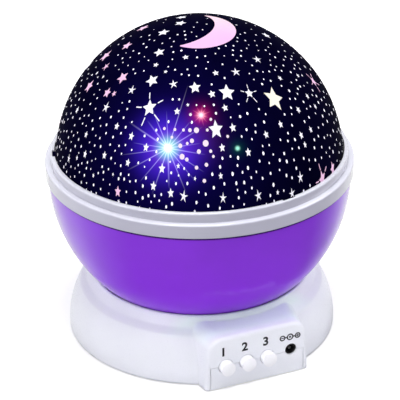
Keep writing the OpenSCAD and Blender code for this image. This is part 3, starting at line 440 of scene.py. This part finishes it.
# ---------------------------------------------------------------- a material for every slot
MAKERS = (white_abs, purple_abs, ring_white, dome_print, button_white, natural_nylon,
          black_plastic, steel, brass_part, rubber_pad, circuit_green, circuit_white, cell_wrap,
          wire_cover, led_warm, led_red_lens, led_green_lens, led_blue_lens)
looks = {maker.__name__: maker().material for maker in MAKERS}
slot_of = {s["node"]: s["material_slot"] for s in frame["record"]["subparts"]}
for name, obj in frame["nodes"].items():
    for slot in obj.material_slots:
        slot.material = looks[slot_of[name]]


# ---------------------------------------------------------------- the dome's pattern
# A clear place fills the wall, and stands a little proud of both its faces
SKINS = (DOME_R + 0.05 * MM, DOME_R - DOME_WALL - 0.04 * MM)


def direction(azimuth, height):
    a, h = math.radians(azimuth), math.radians(height)
    return Vector((math.cos(h) * math.cos(a), math.cos(h) * math.sin(a), math.sin(h)))


def apart(a, b):
    """Angle between two directions in degrees."""
    return math.degrees(math.acos(max(-1.0, min(1.0, a.dot(b)))))


def laid(way, x, y):
    """Direction of the place x, y millimetres east and north of way, along the dome."""
    east = UP.cross(way)
    east = east.normalized() if east.length > 1e-6 else Vector((1, 0, 0))
    north = way.cross(east)
    far = math.hypot(x, y)
    if far < 1e-9:
        return way.copy()
    along = (east * x + north * y) / far
    bend = far * MM / DOME_R
    return way * math.cos(bend) + along * math.sin(bend)


class Print:
    """Clear places in the print, each a thin closed piece that fills the dome's wall."""

    def __init__(self, name):
        self.name, self.points, self.faces = name, [], []

    def skins(self, ways):
        """Adds the points in these directions, on the outer skin and then on the inner one."""
        for radius in SKINS:
            self.points += [tuple(DOME_MID + way.normalized() * radius) for way in ways]

    def shape(self, way, outline):
        """A fan over an outline in millimetres round way, with its middle point."""
        first, n = len(self.points), len(outline)
        middle = laid(way, sum(x for x, _ in outline) / n, sum(y for _, y in outline) / n)
        self.skins([laid(way, x, y) for x, y in outline] + [middle])
        top, low = first, first + n + 1
        for i in range(n):
            j = (i + 1) % n
            self.faces += [(top + i, top + j, top + n), (low + j, low + i, low + n),
                           (top + j, top + i, low + i, low + j)]

    def sheet(self, rows):
        """A grid of directions, such as the moon between its two arcs."""
        first, n, m = len(self.points), len(rows), len(rows[0])
        self.skins([way for row in rows for way in row])
        low = first + n * m

        def at(i, j, base):
            return base + i * m + j

        for i in range(n - 1):
            for j in range(m - 1):
                quad = [(i, j), (i + 1, j), (i + 1, j + 1), (i, j + 1)]
                self.faces.append(tuple(at(*q, first) for q in quad))
                self.faces.append(tuple(at(*q, low) for q in reversed(quad)))
        edge = [(i, 0) for i in range(n)] + [(n - 1, j) for j in range(1, m)]
        edge += [(i, m - 1) for i in range(n - 2, -1, -1)]
        edge += [(0, j) for j in range(m - 2, 0, -1)]
        for a, b in zip(edge, edge[1:] + edge[:1]):
            self.faces.append((at(*b, first), at(*a, first), at(*a, low), at(*b, low)))

    def piece(self, material):
        mesh = mesh_of(self.name, self.points, self.faces)
        mesh.materials.append(material)
        obj = added(self.name, mesh)
        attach(obj, "dome")


STAR_POINTS = 5
WAIST, THIN_WAIST = 0.48, 0.3  # inner corners of a star, as a share of its outer radius
# The rays beside a star: direction from its top point, start and end as shares of its size
BARS = [(-4, 0.55, 0.94), (71, 0.60, 0.97), (140, 0.58, 1.15), (209, 0.58, 1.07),
        (283, 0.58, 0.99)]
BAR_WIDTH = 0.065
STAR_ROOM, SPOT_ROOM = 0.9, 0.7  # free room past their edges, in millimetres
RAY_ROOM = 1.2  # free room round a star with rays, as a share of its size
SPOT_TALL = 1.15  # height of a spot by its width


def star_outline(size, waist=WAIST):
    """Corners of a star that is so many millimetres across."""
    ring = []
    for i in range(2 * STAR_POINTS):
        r = size / 2 * (1 if i % 2 == 0 else waist)
        a = math.pi / 2 + i * math.pi / STAR_POINTS
        ring.append((r * math.cos(a), r * math.sin(a)))
    return ring


def oval(width, height, corners):
    return [(width / 2 * math.cos(a), height / 2 * math.sin(a))
            for a in (2 * math.pi * i / corners for i in range(corners))]


def bar(start, end, width):
    """A short ray with a pointed end."""
    w = width / 2
    return [(-w, start), (w, start), (w, end - w), (0, end), (-w, end - w)]


def turned(outline, angle):
    c, s = math.cos(math.radians(angle)), math.sin(math.radians(angle))
    return [(x * c - y * s, x * s + y * c) for x, y in outline]


def stretched(outline, height):
    """Below a height of 60 degrees the print is drawn out, where the sheet was pulled most."""
    tall = 1 + max(0.0, 0.9 * (math.cos(math.radians(height)) ** 2 - 0.25))
    return [(x, y * tall) for x, y in outline]


# Directions of what is there so far, and the free room round each in millimetres. The places
# where the lamp shines through stay free of dots
taken = [((point - DOME_MID).normalized(), clear)
         for point, clear in ((BLUE_AT, 2.6), (RED_AT, 1.6), (GREEN_AT, 1.6))]


def put_star(where, azimuth, height, size, kind, turn):
    """Adds a star to a print, with its rays if it has them, and takes its room."""
    way = direction(azimuth, height)
    taken.append((way, size / 2 + STAR_ROOM))
    star = star_outline(size, THIN_WAIST if kind == "t" else WAIST)
    where.shape(way, stretched(turned(star, turn), height))
    if kind == "r":
        for angle, start, end in BARS:
            ray = bar(start * size, end * size, size * BAR_WIDTH)
            where.shape(way, stretched(turned(ray, turn - angle), height))
        taken.append((way, size * RAY_ROOM))


# Stars: azimuth, height, size across, kind, tint and turn. Kind f is a full star, t a thin one,
# and r a full one with rays. Tint w is white, p pink and c cream.
STARS = [
    (290, 43, 8.6, "f", "c", -27), (264, 50, 6.6, "f", "w", -9), (255, 36, 5.8, "f", "w", 0),
    (245, 53, 4.8, "f", "w", 7), (216, 54, 5.4, "f", "w", 42), (221, 43, 5.9, "r", "w", 18),
    (277, 48, 3.6, "r", "w", -15), (275, 58, 4.0, "t", "w", -12), (231, 54, 3.8, "t", "w", 20),
    (206, 48, 3.6, "t", "w", 12), (194, 51, 5.2, "f", "p", 55), (191, 43, 3.8, "f", "p", 10),
    (196, 44, 2.2, "f", "p", 40), (173, 40, 4.8, "f", "p", 8), (196, 38, 3.6, "t", "w", 6),
    (165, 61, 5.2, "f", "p", 50), (158, 51, 5.8, "f", "p", 20), (172, 50, 3.8, "t", "p", 5),
    (206, 67, 4.8, "f", "w", 46), (235, 67, 2.7, "f", "w", 20), (174, 76, 5.2, "f", "w", 60),
    (141, 83, 5.0, "f", "w", 80), (137, 66.5, 5.8, "f", "p", 60), (100, 78.3, 4.6, "f", "w", 90),
    (212, 61, 2.4, "f", "w", 10), (260, 59, 2.7, "f", "w", 0), (255, 50, 3.0, "f", "w", 12),
    (236, 43, 2.5, "f", "w", 5), (261, 44, 2.6, "f", "w", 8), (263, 36, 2.8, "f", "w", 4),
    (303, 49, 2.1, "f", "w", 0), (329, 38, 3.8, "r", "p", 10), (313, 37, 2.0, "f", "w", 0),
    (299, 60, 4.0, "t", "w", -30), (301, 35, 2.3, "f", "w", 10), (287, 33, 2.3, "f", "w", -5),
    (296, 26, 2.3, "f", "w", 5), (303, 26, 2.0, "f", "w", 0), (278, 31, 2.4, "f", "w", 4),
    (268, 26, 2.5, "f", "w", -4), (257, 29, 2.5, "f", "w", 3), (216, 31, 2.5, "f", "w", -4),
    (207, 33, 2.3, "f", "w", 6), (224, 28, 2.5, "f", "w", 0), (205, 21, 2.2, "f", "w", 8),
    (217, 21, 2.2, "f", "w", -6), (194, 18, 2.2, "f", "w", 0), (191, 25, 2.0, "f", "w", 5),
    (232, 21, 2.8, "f", "w", 3), (229, 14, 2.6, "f", "w", -3), (236, 12, 2.6, "f", "w", 6),
    (241, 11, 3.4, "t", "w", -10), (214, 9, 3.0, "f", "p", 4), (270, 9, 3.2, "t", "w", 8),
    (256, 10, 3.0, "t", "w", -5), (285, 6, 3.0, "t", "w", 5), (290, 11, 3.2, "t", "w", -6),
    (303, 5.5, 4.8, "r", "p", 12), (312, 6, 4.0, "f", "p", 10), (176, 30, 2.2, "f", "w", 0),
    (183, 12, 2.4, "t", "w", 6),
    # the side away from the lamp's controls
    (20, 48, 7.0, "f", "w", 8), (52, 40, 5.4, "f", "p", -6), (345, 62, 4.2, "f", "w", 0),
    (78, 52, 6.0, "f", "w", 12), (104, 36, 5.0, "r", "w", -8), (36, 26, 4.6, "f", "w", 5),
    (66, 20, 5.2, "f", "w", -5), (12, 22, 4.0, "f", "p", 6), (130, 24, 5.4, "f", "w", 0),
    (146, 40, 4.2, "f", "w", 9), (352, 28, 4.8, "f", "w", -9), (96, 14, 3.6, "t", "w", 4),
    (154, 16, 3.8, "f", "p", -3), (0, 38, 3.4, "t", "w", 7), (118, 50, 3.2, "t", "w", -7),
    (343, 13, 3.4, "f", "w", 2),
]
# Round clear places that are larger than the rest: azimuth, height and width
SPOTS = [
    (246, 36, 2.0), (250, 31, 2.3), (244, 32, 1.6), (243, 36, 1.4), (240, 36, 1.1),
    (242, 31, 1.1), (240, 26, 2.0), (242, 25, 1.4), (247, 28, 1.6), (252, 28, 1.2),
    (253, 26, 1.1), (246, 22, 1.4), (250, 23, 1.4), (249, 17, 1.4), (239, 30, 1.6),
    (236, 36, 1.1), (231, 36, 1.1), (253, 40, 1.1), (243, 42, 1.1), (251, 36, 1.1),
    (260, 33, 1.1), (235, 33, 1.1)]
# The moon is the first circle less the second: middle and radius in degrees
MOON_MID, MOON_R = direction(251.5, 86.8), 14.7
BITE_MID, BITE_R = direction(155.0, 80.6), 16.0
MOON_ROOM = 1.3  # in degrees too

tints = {"w": Print("dome_stars"), "p": Print("dome_stars_pink"), "c": Print("dome_star_cream")}
for azimuth, height, size, kind, tint, turn in STARS:
    put_star(tints[tint], azimuth, height, size, kind, turn)


def circle_way(mid, radius, angle):
    """Direction of a place on a circle on the dome, by the angle round its middle."""
    far = math.radians(radius) * DOME_R / MM
    return laid(mid, far * math.cos(angle), far * math.sin(angle))


def arc(mid, radius, start, stop, steps):
    return [circle_way(mid, radius, start + (stop - start) * i / steps)
            for i in range(steps + 1)]


def crossing(mid, radius, other, other_radius, within):
    """Angles round mid from one place where two circles cross to the next, by the way that
    stays within the other circle or by the way outside it."""
    steps, found, before = 7200, [], None
    for i in range(steps + 1):
        a = 2 * math.pi * i / steps
        gap = apart(circle_way(mid, radius, a), other) - other_radius
        if before is not None and (gap > 0) != (before > 0):
            found.append(a)
        before = gap
    low, high = found[:2]
    inside = apart(circle_way(mid, radius, (low + high) / 2), other) < other_radius
    return (low, high) if inside == within else (high, low + 2 * math.pi)


def moon():
    """The crescent between its outer arc and the arc of the circle that bites into it."""
    steps, rows = 56, 8
    outer = arc(MOON_MID, MOON_R, *crossing(MOON_MID, MOON_R, BITE_MID, BITE_R, False), steps)
    inner = arc(BITE_MID, BITE_R, *crossing(BITE_MID, BITE_R, MOON_MID, MOON_R, True), steps)
    if apart(outer[0], inner[0]) > apart(outer[0], inner[-1]):
        inner.reverse()
    crescent = Print("dome_moon")
    crescent.sheet([[a.lerp(b, j / rows).normalized() for j in range(rows + 1)]
                    for a, b in zip(outer[1:-1], inner[1:-1])])
    return crescent


def clear_of_moon(way):
    return (apart(way, MOON_MID) > MOON_R + MOON_ROOM
            or apart(way, BITE_MID) < BITE_R - MOON_ROOM)


# How the dots stand in patches of the dome: azimuth, height, spacing and size of a dot
PATCHES = [
    (191, 22, 1.15, 0.78), (185, 45, 1.25, 0.72), (223, 57, 1.20, 0.92), (284, 34, 1.30, 0.88),
    (311, 49, 1.06, 0.80), (314, 22, 1.35, 0.86), (232, 12, 1.15, 0.90), (273, 13, 1.30, 0.96),
    (260, 18, 1.20, 1.0), (202, 13, 0.92, 0.70), (60, 15, 1.15, 0.9), (110, 15, 1.15, 0.9),
    (346, 18, 1.7, 0.75), (1, 39, 2.0, 0.7), (28, 57, 2.0, 0.7), (67, 64, 2.0, 0.7),
    (107, 57, 2.0, 0.7), (133, 39, 1.8, 0.7), (148, 18, 1.4, 0.7)]
PATCH_REACH = 14  # degrees
SEED, TRIES = 7, 26000
LOWEST = 2.0  # height of the lowest dots in degrees
# Free room round a dot and its size, in millimetres, before the patches scale them
ROOMS = (1.5, 1.9, 2.4, 3.0)
DOT_SIZES = (0.6, 0.7, 0.8, 0.9, 1.0)
DOT_WIDE, DOT_TALL = 0.92, 1.1  # shares of its size
KEPT_ROOM = 0.45  # share of a dot's room that the next ones keep to, besides their own
# Some dots are small stars instead: their share, their size by a dot's, most turn in degrees
STAR_SHARE, STAR_SCALE, STAR_TURN = 0.05, 2.1, 20
BAND = 0.2  # only what stands within this height is measured, as a share of the radius


def patch_means(way):
    """Spacing and size of the dots there: means over the patches, by how near each one is."""
    weights = [math.exp(-(apart(way, direction(a, h)) / PATCH_REACH) ** 2) + 1e-6
               for a, h, *_ in PATCHES]
    return [sum(w * patch[column] for w, patch in zip(weights, PATCHES)) / sum(weights)
            for column in (2, 3)]


def is_free(way, room):
    """Whether this room, in millimetres, stays out of what is taken."""
    return not any((way - other).length * DOME_R / MM < room + radius for other, radius in taken
                   if abs(way.z - other.z) < BAND)


def sow(dots, stars):
    """Tries places at random, and leaves a dot or a small star where there is room."""
    dice = random.Random(SEED)
    for _ in range(TRIES):
        height = math.degrees(math.asin(dice.uniform(math.sin(math.radians(LOWEST)), 1)))
        azimuth = dice.uniform(0, 360)
        way = direction(azimuth, height)
        if not clear_of_moon(way):
            continue
        spacing, scale = patch_means(way)
        room = dice.choice(ROOMS) * spacing
        if not is_free(way, room):
            continue
        size = dice.choice(DOT_SIZES) * scale
        if dice.random() < STAR_SHARE:
            star = turned(star_outline(size * STAR_SCALE), dice.uniform(-STAR_TURN, STAR_TURN))
            stars.shape(way, stretched(star, height))
        else:
            dots.shape(way, stretched(oval(DOT_WIDE * size, DOT_TALL * size, 8), height))
        taken.append((way, KEPT_ROOM * room))


spots, dots = Print("dome_spots"), Print("dome_dots")
for azimuth, height, size in SPOTS:
    way = direction(azimuth, height)
    spots.shape(way, oval(size, size * SPOT_TALL, 14))
    taken.append((way, size / 2 + SPOT_ROOM))
sow(dots, tints["w"])


def window(name, colour, strength, pale=1.0, back=None):
    """A clear place in the print, whose glow is painted light standing in for the lamp behind it.
    Pale is the share of the tint that is there without that glow. A colour for the back makes the
    tint change towards it."""
    s = Shader(name)
    cloud, fine = s.noise(0.08, 3.0), s.noise(1.5)
    tint = s.ramp(cloud, shade(colour, 0.93), colour)
    if back:
        _, y, _ = s.axes()
        tint = s.mix(s.span(y, -14 * MM, 4 * MM, 0.0, 1.0), tint, back)
    # Painted light: the tint glows as emission, standing in for the lamp behind the print
    s.set(Base_Color=s.vector("MULTIPLY", tint, (pale, pale, pale)), IOR=1.3,
          Roughness=s.vary(fine, 0.2, 0.28), Emission_Color=tint, Emission_Strength=strength)
    return s.material


tints["w"].piece(window("window_star", (0.87, 0.85, 0.96), 0.72, 0.4))
tints["p"].piece(window("window_pink", (0.84, 0.52, 0.76), 0.65, 0.4))
tints["c"].piece(window("window_cream", (0.86, 0.80, 0.70), 0.65, 0.4))
dots.piece(window("window_dot", (0.86, 0.84, 0.95), 0.36))
spots.piece(window("window_spot", (0.86, 0.72, 0.84), 0.65, 0.4))
moon().piece(window("window_moon", (0.82, 0.48, 0.80), 0.65, 0.4, (0.82, 0.58, 0.68)))


# ---------------------------------------------------------------- signs on the control panel
INK_T = 0.03 * MM
FONT_SHARE = 0.66  # height of the font's figures, as a share of its size
BOLDER = 0.05  # how far their outlines are moved out, as a share of their height
ink = plastic("panel_ink", (0.012, 0.011, 0.018), 0.5, 2.0, 0.002, drift=0.3).material


def panel_piece(name, mesh):
    mesh.materials.clear()
    mesh.materials.append(ink)
    obj = added(name, mesh)
    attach(obj, "base")


def numeral(name, text, x, z, tall):
    """A printed figure that stands on the panel, its middle at x and z."""
    curve = bpy.data.curves.new(name, "FONT")
    curve.body = text
    curve.align_x, curve.align_y = "CENTER", "CENTER"
    curve.size = tall / FONT_SHARE
    curve.extrude = INK_T
    curve.resolution_u = 4
    curve.offset = BOLDER * tall
    writer = added(name + "_curve", curve)
    bpy.context.view_layer.update()
    written = writer.evaluated_get(bpy.context.evaluated_depsgraph_get())
    mesh = bpy.data.meshes.new_from_object(written)
    bpy.data.objects.remove(writer)
    bpy.data.curves.remove(curve)
    mesh.name = name
    mesh.transform(Matrix.Translation((x, PANEL_Y, z)) @ Matrix.Rotation(math.pi / 2, 4, "X"))
    panel_piece(name, mesh)


class Sign:
    """Flat printed strokes on the panel, gathered into one mesh."""

    def __init__(self):
        self.points, self.faces = [], []

    def stroke(self, outline, hole=None):
        """A closed prism over the outline, or over the band between it and a hole."""
        first, n = len(self.points), len(outline)
        corners = outline + (hole or [])
        for y in (PANEL_Y - INK_T, PANEL_Y + INK_T):
            self.points += [(x, y, z) for x, z in corners]
        far = len(corners)
        if hole is None:
            self.faces += [tuple(first + i for i in range(n)),
                           tuple(first + far + i for i in reversed(range(n)))]
        for i in range(n):
            j = (i + 1) % n
            self.faces.append((first + j, first + i, first + far + i, first + far + j))
            if hole is not None:
                a, b, c, d = first + i, first + j, first + n + j, first + n + i
                self.faces += [(a, b, c, d), (far + d, far + c, far + b, far + a),
                               (d, c, far + c, far + d)]

    def ring(self, x, z, r, w):
        self.stroke(*([(x + u, z + v) for u, v in oval(wide, wide, 32)]
                      for wide in (2 * r + w, 2 * r - w)))

    def disc(self, x, z, r):
        self.stroke([(x + u, z + v) for u, v in oval(2 * r, 2 * r, 24)])

    def line(self, x, z, w, h):
        self.stroke([(x - w / 2, z - h / 2), (x + w / 2, z - h / 2), (x + w / 2, z + h / 2),
                     (x - w / 2, z + h / 2)])


# How high the figures and the sign stand over the middles of the buttons and of the inlet
FIGURE_H, FIGURE_LIFT, SIGN_LIFT = 3.6 * MM, 6.8 * MM, 6.0 * MM

# The figures over the buttons: shift to the right and further lift, in millimetres
figure_z = node_mid("button_left").z + FIGURE_LIFT
for text, node, shift, lift in (("1", "button_left", -1.1, 0.0),
                                ("2", "button_middle", -0.8, 0.35),
                                ("3", "button_right", -0.7, 0.6)):
    numeral(f"panel_figure_{text}", text, node_mid(node).x + shift * MM, figure_z + lift * MM,
            FIGURE_H)

# The usual sign for the poles of a plug: a minus and a plus in rings, with leads to a ring round
# a dot between them
STROKE, POLE_STROKE = 0.55 * MM, 0.44 * MM
POLE_R, POLE_OUT, POLE_LINE = 1.05 * MM, 3.45 * MM, 1.2 * MM
LEAD_OUT, LEAD = 1.85 * MM, 1.1 * MM
RING_R, DOT_R = 1.26 * MM, 0.5 * MM
sign = Sign()
sign_x = node_mid("dc_jack_pin").x - 0.4 * MM
sign_z = node_mid("dc_jack_pin").z + SIGN_LIFT
for side in (-1, 1):
    pole_x = sign_x + side * POLE_OUT
    sign.ring(pole_x, sign_z, POLE_R, STROKE)
    sign.line(pole_x, sign_z, POLE_LINE, POLE_STROKE)
    sign.line(sign_x + side * LEAD_OUT, sign_z, LEAD, STROKE)
sign.line(pole_x, sign_z, POLE_STROKE, POLE_LINE)
sign.ring(sign_x, sign_z, RING_R, STROKE)
sign.disc(sign_x, sign_z, DOT_R)
panel_piece("panel_polarity_sign", mesh_of("panel_polarity_sign", sign.points, sign.faces))


# ---------------------------------------------------------------- camera
def camera():
    """Stands where the photograph was taken from. The photograph was cut out of a wider one, so
    the middle of its frame is a little off the line through the height aim_z."""
    tilt, roll = math.radians(26.3), math.radians(-0.77)
    far, aim_z, focal_px, frame_px, sensor = 0.9141, 0.0711, 2163.6, 400, 36
    middle_right_px, middle_down_px = 0.35, 30.0
    place = SPIN @ Vector((0, -far * math.cos(tilt), aim_z + far * math.sin(tilt)))
    ahead = SPIN @ Vector((0, math.cos(tilt), -math.sin(tilt)))
    right = SPIN @ Vector((1, 0, 0))
    above = right.cross(ahead)
    right_rolled = right * math.cos(roll) + above * math.sin(roll)
    up_rolled = above * math.cos(roll) - right * math.sin(roll)
    ahead = (ahead * focal_px + right_rolled * middle_right_px
             - up_rolled * middle_down_px).normalized()
    right = ahead.cross(up_rolled).normalized()
    up = right.cross(ahead)
    data = bpy.data.cameras.new("camera")
    data.sensor_width = sensor
    data.lens = focal_px / frame_px * sensor
    data.clip_start, data.clip_end = 0.01, 20
    obj = added("camera", data)
    stance = Matrix((right, up, -ahead)).transposed().to_4x4()
    obj.matrix_world = Matrix.Translation(place) @ stance
    scene.camera = obj


camera()

# ---------------------------------------------------------------- lamps, world and floor
AIM = Vector((0, 0, 0.06))  # what the lamps face, a little below the object's middle


def softbox(name, place, size, power):
    """A square lamp at a place that is given from AIM."""
    data = bpy.data.lights.new(name, "AREA")
    data.size = size
    data.energy = power
    facing = place.to_track_quat("Z", "Y").to_matrix().to_4x4()
    added(name, data).matrix_world = Matrix.Translation(AIM + place) @ facing


softbox("key", FRONT * 0.7 - SIDE * 0.6 + UP * 0.6, 0.7, 4.2)
softbox("fill", SIDE * 0.9 - FRONT * 0.1 + UP * 0.7, 0.6, 4.4)
softbox("top", FRONT * 0.12 + UP * 1.09, 0.5, 9.8)

# The camera and glass see white. Gloss sees a room and a table that are white behind the object
# and on its left, and darken towards GLOSS_WAY
GLOSS_WAY = FRONT + SIDE * 0.3
BRIGHT, DARK = 1.0, 0.08
ROOM_FADE, TABLE_FADE = (-0.34, 0.52), (-0.28, 0.52)  # along GLOSS_WAY, from bright to dark
ROOM_LEVEL, ROOM_TILT = 0.8, 0.2  # the room gains the tilt on the left, and loses it on the right
PLAIN_LIGHT = 0.45  # what the room gives to surfaces that aren't glossy
# The table's own light is weaker near the object, where its shadow falls. Metres from its middle
GLOW_FROM, GLOW_TO, NEAR_GLOW = 0.15, 0.6, 0.36


def studio():
    """A room whose light depends on what looks at it."""
    world = bpy.data.worlds.new("studio")
    scene.world = world
    world.use_nodes = True
    s = Tree(world.node_tree)
    rays, seen = s.rays()
    towards = s.add("ShaderNodeTexCoord").outputs["Generated"]
    fade = s.span(s.dot(towards, GLOSS_WAY), *ROOM_FADE, BRIGHT, DARK)
    tilt = s.math("SUBTRACT", ROOM_LEVEL, s.math("MULTIPLY", s.dot(towards, SIDE), ROOM_TILT))
    gloss = s.product(fade, tilt, rays["Is Glossy Ray"])
    other = s.math("SUBTRACT", 1.0, s.math("MAXIMUM", seen, rays["Is Glossy Ray"]))
    strength = s.math("ADD", s.math("ADD", seen, gloss), s.math("MULTIPLY", other, PLAIN_LIGHT))
    background = s.add("ShaderNodeBackground", {"Color": (1, 1, 1, 1), "Strength": strength})
    s.add("ShaderNodeOutputWorld", {"Surface": background.outputs["Background"]})


studio()


def table():
    """White to the camera and in gloss as above. Seen from below, it lets the underside show."""
    s = Shader("floor_white")
    rays, seen = s.rays()
    geometry = s.add("ShaderNodeNewGeometry").outputs
    spot = geometry["Position"]
    away = s.vector("LENGTH", spot, (0, 0, 0), out=1)
    s.set(Base_Color=s.ramp(s.noise(0.02), (0.75, 0.75, 0.76), (0.77, 0.77, 0.78)),
          Roughness=0.6, IOR=1.2, Emission_Color=(1, 1, 1, 1),
          Emission_Strength=s.product(seen, s.span(away, GLOW_FROM, GLOW_TO, NEAR_GLOW, 1.0)))
    towards = s.dot(s.vector("NORMALIZE", spot, spot), GLOSS_WAY)
    glossy = s.add("ShaderNodeEmission", {
        "Strength": s.span(towards, *TABLE_FADE, BRIGHT, DARK)})
    above = s.add("ShaderNodeMixShader", {
        0: rays["Is Glossy Ray"], 1: s.bsdf.outputs["BSDF"], 2: glossy.outputs["Emission"]})
    both = s.add("ShaderNodeMixShader", {
        0: s.product(geometry["Backfacing"], rays["Is Camera Ray"]), 1: above.outputs["Shader"],
        2: s.add("ShaderNodeBsdfTransparent").outputs["BSDF"]})
    s.put(s.out.inputs["Surface"], both.outputs["Shader"])
    return s.material


bpy.ops.mesh.primitive_plane_add(size=6)
floor = bpy.context.object
floor.name = "floor"
floor.data.materials.append(table())

scene.view_settings.view_transform = "Standard"
